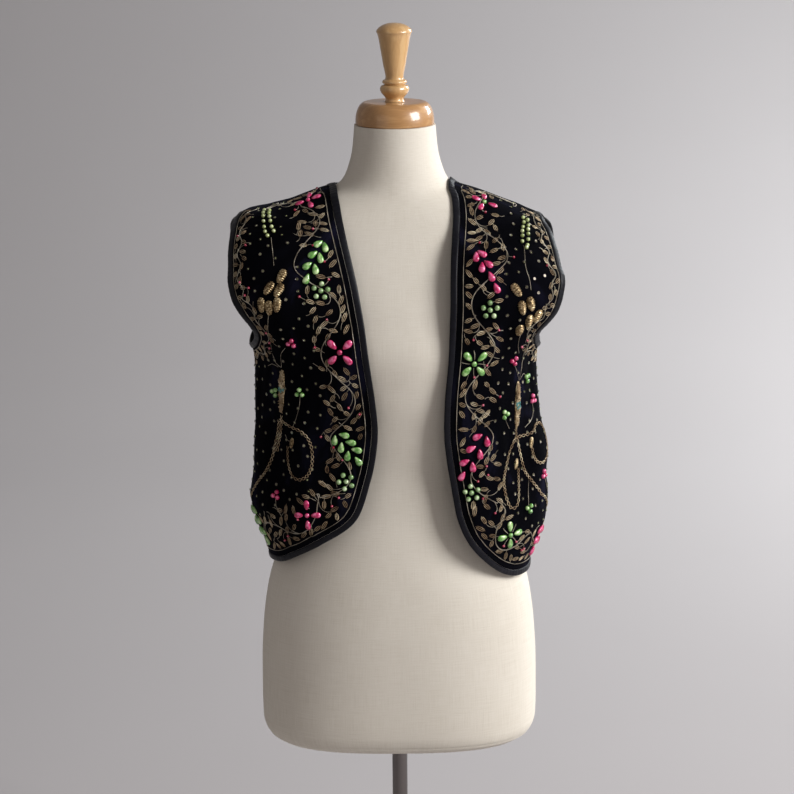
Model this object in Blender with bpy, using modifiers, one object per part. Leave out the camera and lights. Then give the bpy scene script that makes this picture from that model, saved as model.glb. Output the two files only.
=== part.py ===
# Short open-front velvet vest, embroidered with raised beads, on a limbless dress form with a stand.
# Metres, +Z up, the floor at z = 0, the pole on the Z axis, the front towards -Y.
# "right" and "left" are the wearer's sides: the right front lies at -X.
import bmesh
import bpy
import numpy as np
from math import cos, pi, radians, sin
from mathutils import Vector
from mathutils.geometry import delaunay_2d_cdt

for old in list(bpy.data.objects):
    bpy.data.objects.remove(old, do_unlink=True)

NAME = "embroidered_vest_on_dress_form"
parts = bpy.data.collections.new(NAME)
bpy.context.scene.collection.children.link(parts)

SEAM_GAP = 0.0003          # clear space between pieces that are sewn or set together
WALL = 0.0018              # velvet with its lining
BINDING_WIDTH = 0.0078     # satin strip along every free edge
BINDING_THICK = 0.0030
BINDING_LIFT = 0.0004      # the strip's middle lies this far outside the velvet's middle
ROUND_RADIUS = 0.155       # mean radius that turns an angle round the form into a length
CUT_FOOT = 0.600           # height from which lengths up the cloth are counted
CUT_TOP = 1.180
CUT_MERIDIAN = 0.9         # radians from centre front: the line the lengths are taken on
FRONT_STEP = 0.0155        # spacing of the wall's points on the fronts
BACK_STEP = 0.0210
EDGE_STEP = 0.0120
ARMHOLE_STEP = 0.0090
BEAD_CLEAR = 0.0042         # plain points nearer a raised piece than this are left out
SLOPE_STEP = 1e-4          # small step for surface slopes

# Dress form: one row per section.
# height, half width, depth to the front, depth to the back, squareness
FORM_SECTIONS = np.array([
    (0.420, 0.1630, 0.0990, 0.1030, 2.70),
    (0.428, 0.1740, 0.1075, 0.1115, 2.70),
    (0.445, 0.1805, 0.1130, 0.1170, 2.60),
    (0.470, 0.1812, 0.1145, 0.1190, 2.55),
    (0.520, 0.1808, 0.1150, 0.1200, 2.45),
    (0.575, 0.1777, 0.1140, 0.1180, 2.40),
    (0.618, 0.1720, 0.1110, 0.1140, 2.35),
    (0.650, 0.1640, 0.1080, 0.1080, 2.30),
    (0.700, 0.1460, 0.1010, 0.0960, 2.20),
    (0.745, 0.1325, 0.0950, 0.0880, 2.15),
    (0.790, 0.1270, 0.0930, 0.0860, 2.10),
    (0.840, 0.1310, 0.1000, 0.0900, 2.10),
    (0.900, 0.1430, 0.1150, 0.0990, 2.15),
    (0.950, 0.1540, 0.1230, 0.1040, 2.20),
    (1.000, 0.1650, 0.1140, 0.1070, 2.25),
    (1.050, 0.1780, 0.0960, 0.1060, 2.30),
    (1.080, 0.1840, 0.0830, 0.1010, 2.30),
    (1.100, 0.1800, 0.0740, 0.0940, 2.25),
    (1.115, 0.1620, 0.0670, 0.0850, 2.20),
    (1.127, 0.1350, 0.0610, 0.0760, 2.10),
    (1.138, 0.1070, 0.0560, 0.0690, 2.05),
    (1.148, 0.0770, 0.0530, 0.0630, 2.00),
    (1.158, 0.0662, 0.0510, 0.0590, 2.00),
    (1.172, 0.0598, 0.0500, 0.0560, 2.00),
    (1.195, 0.0540, 0.0500, 0.0530, 2.00),
    (1.226, 0.0510, 0.0510, 0.0510, 2.00)])

# Space between the form and the middle of the vest's cloth, in millimetres: one row per section.
# height of the form there, front, right side, left side, back
EASE_SECTIONS = np.array([
    (0.630, 9.0, 3.0, 3.0, 4.0),
    (0.655, 12.0, 5.0, 10.0, 6.0),
    (0.680, 14.0, 21.0, 33.0, 10.0),
    (0.705, 16.0, 42.0, 51.0, 13.0),
    (0.735, 18.0, 58.0, 62.0, 16.0),
    (0.800, 20.0, 56.0, 63.0, 17.0),
    (0.870, 15.0, 46.0, 46.0, 14.0),
    (0.915, 9.0, 36.0, 33.0, 9.0),
    (0.945, 6.5, 30.0, 27.0, 7.0),
    (0.970, 6.0, 41.0, 39.0, 6.0),
    (0.992, 6.0, 62.0, 62.0, 6.0),
    (1.015, 6.0, 72.0, 72.0, 5.0),
    (1.040, 5.0, 68.0, 68.0, 5.0),
    (1.065, 4.0, 54.0, 48.0, 4.0),
    (1.085, 3.5, 38.0, 26.0, 3.5),
    (1.100, 3.0, 23.0, 10.0, 3.0),
    (1.115, 2.8, 8.0, 3.4, 3.4),
    (1.130, 2.3, 2.6, 2.4, 3.0),
    (1.175, 2.3, 2.3, 2.3, 2.8)])
FRONT_SPREAD = 3.0         # power of the sine that carries the side's ease towards the front
BACK_SPREAD = 6.0          # and towards the back

# Large folds of the cloth: one row per fold.
# degrees round from centre front, half width in degrees, middle height, half length, rise in millimetres
FOLDS = np.array([
    (-80, 7, 0.800, 0.085, 5.0),
    (-66, 6, 0.840, 0.090, -5.0),
    (-53, 7, 0.780, 0.075, 4.0),
    (80, 7, 0.820, 0.090, 5.0),
    (68, 6, 0.790, 0.085, -5.0),
    (54, 7, 0.830, 0.080, 4.0),
    (118, 8, 0.800, 0.095, -5.0),
    (138, 8, 0.790, 0.090, 5.0),
    (160, 9, 0.800, 0.100, -4.0),
    (183, 9, 0.780, 0.090, 5.0),
    (205, 8, 0.800, 0.100, -4.0),
    (226, 8, 0.800, 0.090, 5.0),
    (243, 8, 0.790, 0.095, -5.0)])

# Finished edge of each front from the neck point down the front, round the corner and along the hem.
# degrees round from centre front, height of the form there
FRONT_EDGE = {
    "right": [(90, 1.1500), (76, 1.1480), (57, 1.1360), (35, 1.0785), (20.2, 1.0046), (12.9, 0.9025),
              (12.4, 0.8550), (18.1, 0.7960), (28.0, 0.7370), (46.0, 0.7016), (58.0, 0.6810),
              (68.0, 0.6680), (90, 0.6600)],
    "left": [(90, 1.1570), (75, 1.1545), (59.4, 1.1405), (40.7, 1.0821), (30.9, 1.0087), (27.3, 0.9013),
             (29.0, 0.8500), (33.5, 0.7980), (40.2, 0.7136), (52.1, 0.6712), (64.5, 0.6506),
             (77.0, 0.6460), (90, 0.6480)]}
# Finished armhole from the armpit up the front to the shoulder tip and down the back.
ARMHOLE = {
    "right": [(90, 0.9570), (75, 0.9650), (66.6, 0.9840), (67.5, 1.0040), (71.0, 1.0250), (74.2, 1.0480),
              (77.6, 1.0700), (82.0, 1.0880), (90, 1.0990), (99, 1.0850), (107, 1.0500), (111, 1.0100),
              (106, 0.9740)],
    "left": [(90, 0.9540), (75, 0.9640), (67.8, 0.9830), (68.6, 0.9970), (71.4, 1.0220), (73.9, 1.0430),
             (77.0, 1.0670), (81.0, 1.0860), (90, 1.1040), (99, 1.0880), (107, 1.0500), (111, 1.0100),
             (106, 0.9740)]}
# Finished edges of the back, from the left side round the back to the right side.
BACK_NECK = [(90, 1.1570), (112, 1.1475), (140, 1.1410), (180, 1.1380), (220, 1.1395), (248, 1.1440),
             (270, 1.1500)]
BACK_HEM = [(90, 0.6480), (135, 0.6490), (180, 0.6520), (225, 0.6560), (270, 0.6600)]

# Raised work on the fronts, as sizes of one piece: length, width, rise
TEARDROP = (0.0140, 0.0078, 0.0036)
PETAL = (0.0150, 0.0084, 0.0036)
ROUND_BEAD = (0.0068, 0.0068, 0.0036)
FLOWER_EYE = (0.0072, 0.0072, 0.0034)
GOLD_PAD = (0.0180, 0.0090, 0.0030)
PETAL_REACH = 0.0132       # from a flower's eye to the middle of a petal
SPRAY_STALK = 0.0018       # from a spray's line to the tip of each drop of a pair
CLUSTER_RING = 0.0088      # from a cluster's middle bead to the five round it
CLUSTER_COUNT = 5
# Flowers of four petals: degrees round, height, degrees turned, share of the full size
FLOWERS = {
    "right": [(75, 1.1320, 45, 0.85), (30.5, 0.9603, 45, 1.0), (52, 0.7396, -9, 0.85)],
    "left": [(73, 1.1290, 45, 0.85), (40.9, 0.9444, 42, 1.0), (61.1, 0.7034, 1, 0.95)]}
# Sprays of drops: degrees round and height of the end drop, degrees turned, pairs, single drops at the
# end, degrees that a pair's drops turn off the line, step along the line
SPRAYS = {
    "right": [(49.4, 1.0428, 21, 3, 1, 32, 0.0154), (25.6, 0.8230, -33, 3, 1, 44, 0.0126),
              (76.5, 0.6860, -20, 3, 1, 30, 0.0146)],
    "left": [(51.8, 1.0312, 24, 2, 2, 27, 0.0158), (40.2, 0.8000, -28, 3, 1, 36, 0.0156),
             (77.8, 0.6690, -16, 2, 1, 30, 0.0164)]}
# Clusters of six round beads: degrees round, height, degrees turned
CLUSTERS = {
    "right": [(42.4, 1.0299, 4), (33.7, 0.7920, -22)],
    "left": [(47.5, 1.0083, 0), (44.8, 0.7723, 6)]}
# Padded gold petals below each armhole: across and up from the fan's foot in millimetres, degrees turned
PAD_FOOT = {"right": (58.8, 1.0140), "left": (60.7, 0.9967)}
PAD_FAN = {
    "right": [(-16.3, 38.7, 28), (-1.1, 24.2, 42), (-13.7, 20.8, 35), (9.4, 4.4, 7), (0, 0, 9),
              (-10.7, 2.7, 12)],
    "left": [(-17.7, 35.4, 39), (-12.8, 15.9, 19), (-1.7, 21.3, 23), (9.6, 7.6, -5), (0, 0, 12),
             (-8.0, -13.0, 12)]}


def smooth(table, column, at):
    """Monotone cubic through one column of a table, against its first column."""
    x, y = table[:, 0], table[:, column]
    at = np.clip(at, x[0], x[-1])
    step = np.diff(x)
    rise = np.diff(y) / step
    near = 2 * step[1:] + step[:-1]
    far = step[1:] + 2 * step[:-1]
    turning = rise[:-1] * rise[1:] <= 0
    safe = np.where(turning, 1.0, rise[:-1]), np.where(turning, 1.0, rise[1:])
    slope = np.zeros(len(x))
    slope[0], slope[-1] = rise[0], rise[-1]
    slope[1:-1] = np.where(turning, 0.0, (near + far) / (near / safe[0] + far / safe[1]))
    i = np.clip(np.searchsorted(x, at, side="right") - 1, 0, len(step) - 1)
    t = (at - x[i]) / step[i]
    return ((1 + 2 * t) * (1 - t) ** 2 * y[i] + t * (1 - t) ** 2 * step[i] * slope[i]
            + t * t * (3 - 2 * t) * y[i + 1] + t * t * (t - 1) * step[i] * slope[i + 1])


def form_point(angle, height):
    """Point of the form: a rounded-square ring at each height, angle 0 at centre front."""
    half, front, back, square = (smooth(FORM_SECTIONS, k, height) for k in (1, 2, 3, 4))
    across, ahead = np.sin(angle), np.cos(angle)
    deep = np.where(ahead > 0, front, back)
    reach = (np.abs(across / half) ** square + np.abs(ahead / deep) ** square) ** (-1 / square)
    return np.stack([reach * across, -reach * ahead, height + 0 * reach], -1)


def form_normal(angle, height):
    round_way = form_point(angle + SLOPE_STEP, height) - form_point(angle - SLOPE_STEP, height)
    up_way = form_point(angle, height + SLOPE_STEP) - form_point(angle, height - SLOPE_STEP)
    normal = np.cross(round_way, up_way)
    return normal / np.linalg.norm(normal, axis=-1, keepdims=True)


def ease(angle, height):
    """Space under the cloth: side values fade to front and back values, folds added."""
    front, right, left, back = (smooth(EASE_SECTIONS, k, height) / 1000 for k in (1, 2, 3, 4))
    across, ahead = np.sin(angle), np.cos(angle)
    side = np.where(across < 0, right, left)
    end = np.where(ahead > 0, front, back)
    share = np.abs(across) ** np.where(ahead > 0, FRONT_SPREAD, BACK_SPREAD)
    total = end * (1 - share) + side * share
    for at, half_width, middle, half_length, rise in FOLDS:
        off = np.degrees(np.angle(np.exp(1j * (angle - radians(at)))))
        total = total + rise / 1000 * np.exp(-(off / half_width) ** 2 - ((height - middle) / half_length) ** 2)
    return total


def vest_point(angle, height):
    return form_point(angle, height) + form_normal(angle, height) * ease(angle, height)[..., None]


HEIGHTS = np.linspace(CUT_FOOT, CUT_TOP, 400)
MERIDIAN = form_point(np.full_like(HEIGHTS, CUT_MERIDIAN), HEIGHTS)
LENGTHS = np.concatenate([[0.0], np.cumsum(np.linalg.norm(np.diff(MERIDIAN, axis=0), axis=1))])


def to_cut(rows):
    """Rows of degrees and height become flat cut lengths: round the form, up the cloth."""
    rows = np.asarray(rows, float)
    return np.stack([np.radians(rows[:, 0]) * ROUND_RADIUS, np.interp(rows[:, 1], HEIGHTS, LENGTHS)], -1)


def cloth(cut, side):
    """Point of the cloth's middle for flat cut lengths; side -1 mirrors the angle."""
    cut = np.asarray(cut, float)
    return vest_point(side * cut[..., 0] / ROUND_RADIUS, np.interp(cut[..., 1], LENGTHS, HEIGHTS))


def cloth_slopes(cut, side):
    """Ways round and up on the cloth for one unit of flat cut."""
    cut = np.asarray(cut, float)
    step_u, step_v = np.array([SLOPE_STEP, 0]), np.array([0, SLOPE_STEP])
    way_u = (cloth(cut + step_u, side) - cloth(cut - step_u, side)) / (2 * SLOPE_STEP)
    way_v = (cloth(cut + step_v, side) - cloth(cut - step_v, side)) / (2 * SLOPE_STEP)
    return way_u, way_v


def cloth_normal(cut, side):
    way_u, way_v = cloth_slopes(cut, side)
    normal = side * np.cross(way_u, way_v)
    return normal / np.linalg.norm(normal, axis=-1, keepdims=True)


def curve(rows, closed=False, step=EDGE_STEP):
    """Smooth curve in the flat cut through table rows, points at an even step."""
    knots = to_cut(rows)
    if closed:
        knots = np.vstack([knots[-1], knots, knots[0], knots[1]])
    else:
        knots = np.vstack([2 * knots[0] - knots[1], knots, 2 * knots[-1] - knots[-2]])
    gaps = np.sqrt(np.linalg.norm(np.diff(knots, axis=0), axis=1))
    dense = []
    t = np.linspace(0, 1, 40, endpoint=False)[:, None]
    for k in range(1, len(knots) - 2):
        a, b, c, d = knots[k - 1:k + 3]
        g0, g1, g2 = gaps[k - 1:k + 2]
        leave = g1 * ((b - a) / g0 - (c - a) / (g0 + g1) + (c - b) / g1)
        arrive = g1 * ((c - b) / g1 - (d - b) / (g1 + g2) + (d - c) / g2)
        dense.append((1 + 2 * t) * (1 - t) ** 2 * b + t * (1 - t) ** 2 * leave
                     + t * t * (3 - 2 * t) * c + t * t * (t - 1) * arrive)
    dense = np.vstack(dense + [knots[-2][None]])
    return even(dense, step, closed)


def even(points, step, closed=False):
    length = np.concatenate([[0.0], np.cumsum(np.linalg.norm(np.diff(points, axis=0), axis=1))])
    count = max(2, int(round(length[-1] / step)))
    at = np.linspace(0, length[-1], count + 1)
    if closed:
        at = at[:-1]
    return np.stack([np.interp(at, length, points[:, 0]), np.interp(at, length, points[:, 1])], -1)


def shifted(points, distance, side, closed=False):
    """Curve moved to its left on the cloth by a true distance."""
    way_u, way_v = cloth_slopes(points, side)
    scale = np.stack([np.linalg.norm(way_u, axis=-1), np.linalg.norm(way_v, axis=-1)], -1)
    if closed:
        along = np.roll(points, -1, 0) - np.roll(points, 1, 0)
    else:
        along = np.gradient(points, axis=0)
    along = along * scale
    along = along / np.linalg.norm(along, axis=1, keepdims=True)
    return points + distance * np.stack([-along[:, 1], along[:, 0]], -1) / scale


def between(points, low, high):
    """The run of a curve whose round length lies between two values, cut exactly at them."""
    kept = []
    for a, b in zip(points[:-1], points[1:]):
        cuts = sorted((t for t in ((low - a[0]) / (b[0] - a[0] or 1), (high - a[0]) / (b[0] - a[0] or 1))
                       if 0 < t < 1))
        for t in [0.0] + cuts:
            p = a + t * (b - a)
            if low - 1e-9 <= p[0] <= high + 1e-9:
                kept.append(p)
    if low <= points[-1][0] <= high:
        kept.append(points[-1])
    return np.array(kept)


def link(name, mesh, colour, roughness, metallic=0.0):
    node = bpy.data.objects.new(name, mesh)
    parts.objects.link(node)
    material = bpy.data.materials.new(name)
    material.use_nodes = True
    shader = material.node_tree.nodes["Principled BSDF"]
    shader.inputs["Base Color"].default_value = (*colour, 1.0)
    shader.inputs["Roughness"].default_value = roughness
    shader.inputs["Metallic"].default_value = metallic
    mesh.materials.append(material)
    return node


def mesh_from(name, points, faces):
    mesh = bpy.data.meshes.new(name)
    mesh.from_pydata([tuple(p) for p in points], [], faces)
    work = bmesh.new()
    work.from_mesh(mesh)
    bmesh.ops.recalc_face_normals(work, faces=work.faces)
    bmesh.ops.triangulate(work, faces=work.faces)
    work.to_mesh(mesh)
    work.free()
    return mesh


def loft(name, rings, closed=False):
    """Closed body through rings of equal count; end rings become flat caps unless it closes on itself."""
    rings = np.asarray(rings)
    count, sides = rings.shape[:2]
    faces = []
    for r in range(count if closed else count - 1):
        upper = (r + 1) % count
        for s in range(sides):
            n = (s + 1) % sides
            faces.append((r * sides + s, r * sides + n, upper * sides + n, upper * sides + s))
    if not closed:
        faces.append(tuple(range(sides)))
        faces.append(tuple((count - 1) * sides + s for s in range(sides)))
    return mesh_from(name, rings.reshape(-1, 3), faces)


def turned(name, profile, steps, colour, roughness, metallic=0.0):
    """Body of revolution about Z: the profile runs down its outer side from the top."""
    mesh = bpy.data.meshes.new(name)
    mesh.from_pydata([(r, 0.0, z) for r, z in profile], [(k, k + 1) for k in range(len(profile) - 1)], [])
    node = link(name, mesh, colour, roughness, metallic)
    screw = node.modifiers.new("turn", "SCREW")
    screw.steps = steps
    screw.render_steps = steps
    screw.use_merge_vertices = True
    screw.merge_threshold = 1e-5
    return node


# Stand: a round steel foot with a boss, and a plain chrome pole up to the form.
BASE_RADIUS = 0.160
BASE_THICK = 0.010
BOSS_RADIUS = 0.022
BOSS_TOP = 0.034
POLE_RADIUS = 0.0102
EDGE_ROUND = 0.003
turned("base", [(0, BOSS_TOP), (BOSS_RADIUS - EDGE_ROUND, BOSS_TOP), (BOSS_RADIUS, BOSS_TOP - EDGE_ROUND),
                (BOSS_RADIUS, BASE_THICK + EDGE_ROUND), (BOSS_RADIUS + EDGE_ROUND, BASE_THICK),
                (BASE_RADIUS - EDGE_ROUND, BASE_THICK), (BASE_RADIUS, BASE_THICK - EDGE_ROUND),
                (BASE_RADIUS, 0), (0, 0)], 36, (0.62, 0.62, 0.63), 0.3, 1.0)
FORM_FOOT = FORM_SECTIONS[0, 0]
FORM_TOP = FORM_SECTIONS[-1, 0]
turned("pole", [(0, FORM_FOOT - SEAM_GAP), (POLE_RADIUS, FORM_FOOT - SEAM_GAP),
                (POLE_RADIUS, BOSS_TOP + SEAM_GAP), (0, BOSS_TOP + SEAM_GAP)], 24, (0.80, 0.80, 0.82), 0.15, 1.0)

# Torso of the form: linen drawn over a smooth body, flat below and under the neck cap.
FORM_SIDES = 44
FORM_RINGS = np.concatenate([[0.420, 0.424, 0.430, 0.440], np.linspace(0.456, 1.076, 17),
                             [1.092, 1.104, 1.114, 1.122, 1.130, 1.138, 1.146, 1.154, 1.163, 1.175, 1.195, 1.226]])
angles = np.linspace(0, 2 * pi, FORM_SIDES, endpoint=False)
rings = [form_point(angles, np.full(FORM_SIDES, h)) for h in FORM_RINGS]
link("torso", loft("torso", rings), (0.72, 0.68, 0.60), 0.85)

# Neck cap: a turned wooden disc with a rounded shoulder.
CAP_FOOT = FORM_TOP + SEAM_GAP
CAP_TOP = CAP_FOOT + 0.0280
CAP_FLAT = 0.0368
CAP_RADIUS = 0.0496
CAP_LIP = 0.0040
turns = np.linspace(radians(8), pi / 2, 6)
cap = [(0, CAP_TOP), (CAP_FLAT, CAP_TOP)]
cap += [(CAP_FLAT + (CAP_RADIUS - CAP_FLAT) * sin(t),
         CAP_FOOT + CAP_LIP + (CAP_TOP - CAP_FOOT - CAP_LIP) * cos(t)) for t in turns]
cap += [(CAP_RADIUS - 0.0010, CAP_FOOT), (0, CAP_FOOT)]
turned("neck_cap", cap, 36, (0.55, 0.33, 0.14), 0.3)

# Finial on the cap: foot, ball, ring and a flaring stem with a domed top.
# height above the cap, radius
FINIAL_PROFILE = [(0.0978, 0.0), (0.0968, 0.0090), (0.0935, 0.0170), (0.0892, 0.0216), (0.0868, 0.0224),
                  (0.0846, 0.0214), (0.0800, 0.0200), (0.0640, 0.0172), (0.0460, 0.0142), (0.0285, 0.0116),
                  (0.0262, 0.0148), (0.0244, 0.0155), (0.0228, 0.0148), (0.0216, 0.0126), (0.0196, 0.0168),
                  (0.0156, 0.0183), (0.0112, 0.0170), (0.0058, 0.0124), (0.0030, 0.0114), (0.0, 0.0126), (0.0, 0.0)]
turned("finial", [(r, CAP_TOP + SEAM_GAP + h) for h, r in FINIAL_PROFILE], 20, (0.58, 0.38, 0.18), 0.3)

SEAM = pi / 2 * ROUND_RADIUS
EDGE_INSET = BINDING_WIDTH + SEAM_GAP
SIDES = {"right": -1, "left": 1}


def on_cloth(foot, across, along, side):
    """Flat cut place at true lengths across and along the cloth from a foot."""
    way_u, way_v = cloth_slopes(foot, side)
    long_u = np.linalg.norm(way_u)
    skew = way_v @ way_u / long_u
    up = along / np.sqrt(way_v @ way_v - skew * skew)
    return foot + np.array([(across - skew * up) / long_u, up])


def turned_by(across, along, turn):
    """Lengths across and along after a turn towards centre front."""
    return across * cos(turn) - along * sin(turn), across * sin(turn) + along * cos(turn)


def bead_rings(centre, size, turn, side, pointed):
    """Outline, shoulder and top of one raised piece in the flat cut, with their rises."""
    length, width, rise = size
    made = []
    for count, share, lift in ((8, 1.0, 0.0), (6, 0.68, 0.74), (1, 0.0, 1.0)):
        for k in range(count):
            t = 2 * pi * k / count
            along = 0.5 * length * share * cos(t)
            across = 0.5 * width * share * sin(t) * (1 - pointed * 0.42 * cos(t))
            spot = on_cloth(centre, *turned_by(across, along, turn), side)
            made.append((*spot, lift * rise))
    return np.array(made)


def raised_work(name):
    """All raised pieces of one front: flowers, sprays, clusters and the padded fan."""
    side = SIDES[name]
    made = []

    def put(foot, across, up, lean, size, turn, pointed):
        centre = on_cloth(foot, *turned_by(across, up, lean), side)
        made.append(bead_rings(centre, size, lean + turn, side, pointed))

    for around, height, turn, share in FLOWERS[name]:
        foot = to_cut([(around, height)])[0]
        put(foot, 0, 0, 0, [share * size for size in FLOWER_EYE], 0, 0)
        for k in range(4):
            put(foot, 0, PETAL_REACH * share, radians(turn + 90 * k), [share * size for size in PETAL], 0, -0.6)
    for around, height, turn, pairs, singles, splay, step in SPRAYS[name]:
        foot = to_cut([(around, height)])[0]
        half = 0.5 * TEARDROP[0] * sin(radians(splay)) + SPRAY_STALK
        for k in range(singles):
            put(foot, 0, step * k, radians(turn), TEARDROP, 0, 1)
        for k in range(singles, singles + pairs):
            for hand in (-1, 1):
                put(foot, hand * half, step * k, radians(turn), TEARDROP, radians(hand * splay), 1)
    for around, height, turn in CLUSTERS[name]:
        foot = to_cut([(around, height)])[0]
        put(foot, 0, 0, 0, ROUND_BEAD, 0, 0)
        for k in range(CLUSTER_COUNT):
            put(foot, 0, CLUSTER_RING, radians(turn + 360 * k / CLUSTER_COUNT), ROUND_BEAD, 0, 0)
    foot = to_cut([PAD_FOOT[name]])[0]
    for across, up, turn in PAD_FAN[name]:
        centre = on_cloth(foot, across / 1000, up / 1000, side)
        made.append(bead_rings(centre, GOLD_PAD, radians(turn), side, -0.3))
    return made


def inside(points, outline):
    """Whether flat points lie within a closed outline."""
    x, y = points[:, 0][:, None], points[:, 1][:, None]
    ax, ay = outline[:, 0][None], outline[:, 1][None]
    bx, by = np.roll(ax, -1, 1), np.roll(ay, -1, 1)
    crosses = ((ay > y) != (by > y)) & (x < (bx - ax) * (y - ay) / np.where(by == ay, 1e-12, by - ay) + ax)
    return crosses.sum(1) % 2 == 1


def panel(name, outline, side, raised, step):
    """Closed wall of cloth: outer face with raised work, plain inner face, a rim between."""
    low, high = outline.min(0), outline.max(0)
    rows = np.arange(low[1] + step / 2, high[1], step)
    grid = np.array([(u + (k % 2) * step / 2, v) for k, v in enumerate(rows)
                     for u in np.arange(low[0], high[0], step)])
    grid = grid[inside(grid, outline)]
    far = np.linalg.norm(grid[:, None] - outline[None], axis=-1).min(1) > 0.55 * step
    grid = grid[far]
    open_grid = grid
    if raised:
        beads = np.vstack(raised)
        clear = np.linalg.norm(open_grid[:, None] - beads[None, :, :2], axis=-1).min(1) > BEAD_CLEAR
        open_grid = open_grid[clear]
    count = len(outline)
    ring = [(k, (k + 1) % count) for k in range(count)]

    def skin(flat, edges):
        found = delaunay_2d_cdt([Vector(p) for p in flat], edges, [], 1, 1e-7)
        source = [origin[0] for origin in found[3]]
        return [tuple(source[i] for i in face) for face in found[2]]

    outer_flat, outer_rise, edges = [outline, open_grid], [np.zeros(count + len(open_grid))], list(ring)
    start = count + len(open_grid)
    for bead in raised:
        edges += [(start + k, start + (k + 1) % 8) for k in range(8)]
        outer_flat.append(bead[:, :2])
        outer_rise.append(bead[:, 2])
        start += len(bead)
    outer_flat, outer_rise = np.vstack(outer_flat), np.concatenate(outer_rise)
    inner_flat = np.vstack([outline, grid])
    outer = cloth(outer_flat, side) + cloth_normal(outer_flat, side) * (WALL / 2 + outer_rise)[:, None]
    inner = cloth(inner_flat, side) - cloth_normal(inner_flat, side) * WALL / 2
    faces = skin(outer_flat, edges)
    base = len(outer)
    faces += [tuple(base + i for i in reversed(face)) for face in skin(inner_flat, ring)]
    faces += [(a, base + a, base + b, b) for a, b in ring]
    return link(name, mesh_from(name, np.vstack([outer, inner]), faces), VELVET, 0.9)


def strip(name, edge, side, low, high, closed=False):
    """Satin binding: four lines on the cloth beside a finished edge, two of them lifted and sunk."""
    half = BINDING_THICK / 2
    section = [(0.0, 0.0), (0.2, half), (0.8, half), (1.0, 0.0), (0.8, -half), (0.2, -half)]
    lines = []
    for share, rise in section:
        line = shifted(edge, share * BINDING_WIDTH, side, closed)
        line[:, 0] = np.clip(line[:, 0], low, high)
        lines.append(cloth(line, side) + cloth_normal(line, side) * (BINDING_LIFT + rise))
    return link(name, loft(name, np.stack(lines, 1), closed), (0.03, 0.03, 0.045), 0.45)


VELVET = (0.008, 0.008, 0.014)
HALF_TURN = pi * ROUND_RADIUS
back_armholes = {}
for name, side in SIDES.items():
    edge = curve(FRONT_EDGE[name])
    hole = curve(ARMHOLE[name], closed=True, step=ARMHOLE_STEP)
    strip("binding_front_" + name, edge, side, 0, SEAM - SEAM_GAP)
    strip("binding_armhole_" + name, hole, side, 0, HALF_TURN, closed=True)
    front_edge = between(shifted(edge, EDGE_INSET, side), 0, SEAM - SEAM_GAP)
    loop = shifted(hole, EDGE_INSET, side, True)
    loop = np.vstack([loop, loop[:1]])
    top = int(np.argmax(loop[:, 1]))
    rising = loop[:top + 2]
    falling = np.vstack([loop[top - 1:-1], loop[:2]])
    front_hole = between(rising, 0, SEAM - SEAM_GAP)
    back_armholes[name] = between(falling, SEAM + SEAM_GAP, 2 * HALF_TURN)
    side_seam = even(np.array([front_edge[-1], front_hole[0]]), EDGE_STEP)[1:-1]
    shoulder_seam = even(np.array([front_hole[-1], front_edge[0]]), EDGE_STEP)[1:-1]
    outline = np.vstack([front_edge, side_seam, front_hole, shoulder_seam])
    panel("front_" + name, outline, side, raised_work(name), FRONT_STEP)


def across_back(points):
    """Right-side curve laid at the far end of the back's flat cut."""
    return np.stack([2 * HALF_TURN - points[:, 0], points[:, 1]], -1)[::-1]


hem = curve(BACK_HEM)
neck = curve(BACK_NECK)[::-1]
BACK_LOW, BACK_HIGH = SEAM + SEAM_GAP, 2 * HALF_TURN - SEAM - SEAM_GAP
strip("binding_back_hem", hem, 1, BACK_LOW, BACK_HIGH)
strip("binding_back_neck", neck, 1, BACK_LOW, BACK_HIGH)
hem = between(shifted(hem, EDGE_INSET, 1), BACK_LOW, BACK_HIGH)
neck = between(shifted(neck, EDGE_INSET, 1), BACK_LOW, BACK_HIGH)
right_hole = across_back(back_armholes["right"])
left_hole = back_armholes["left"]
right_side = even(np.array([hem[-1], right_hole[0]]), EDGE_STEP)[1:-1]
right_shoulder = even(np.array([right_hole[-1], neck[0]]), EDGE_STEP)[1:-1]
left_shoulder = even(np.array([neck[-1], left_hole[0]]), EDGE_STEP)[1:-1]
left_side = even(np.array([left_hole[-1], hem[0]]), EDGE_STEP)[1:-1]
panel("back", np.vstack([hem, right_side, right_hole, right_shoulder, neck, left_shoulder, left_hole, left_side]),
      1, [], BACK_STEP)
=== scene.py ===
from math import pi, radians

import bmesh
import bpy
import numpy as np
from mathutils import Matrix, Vector


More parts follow.
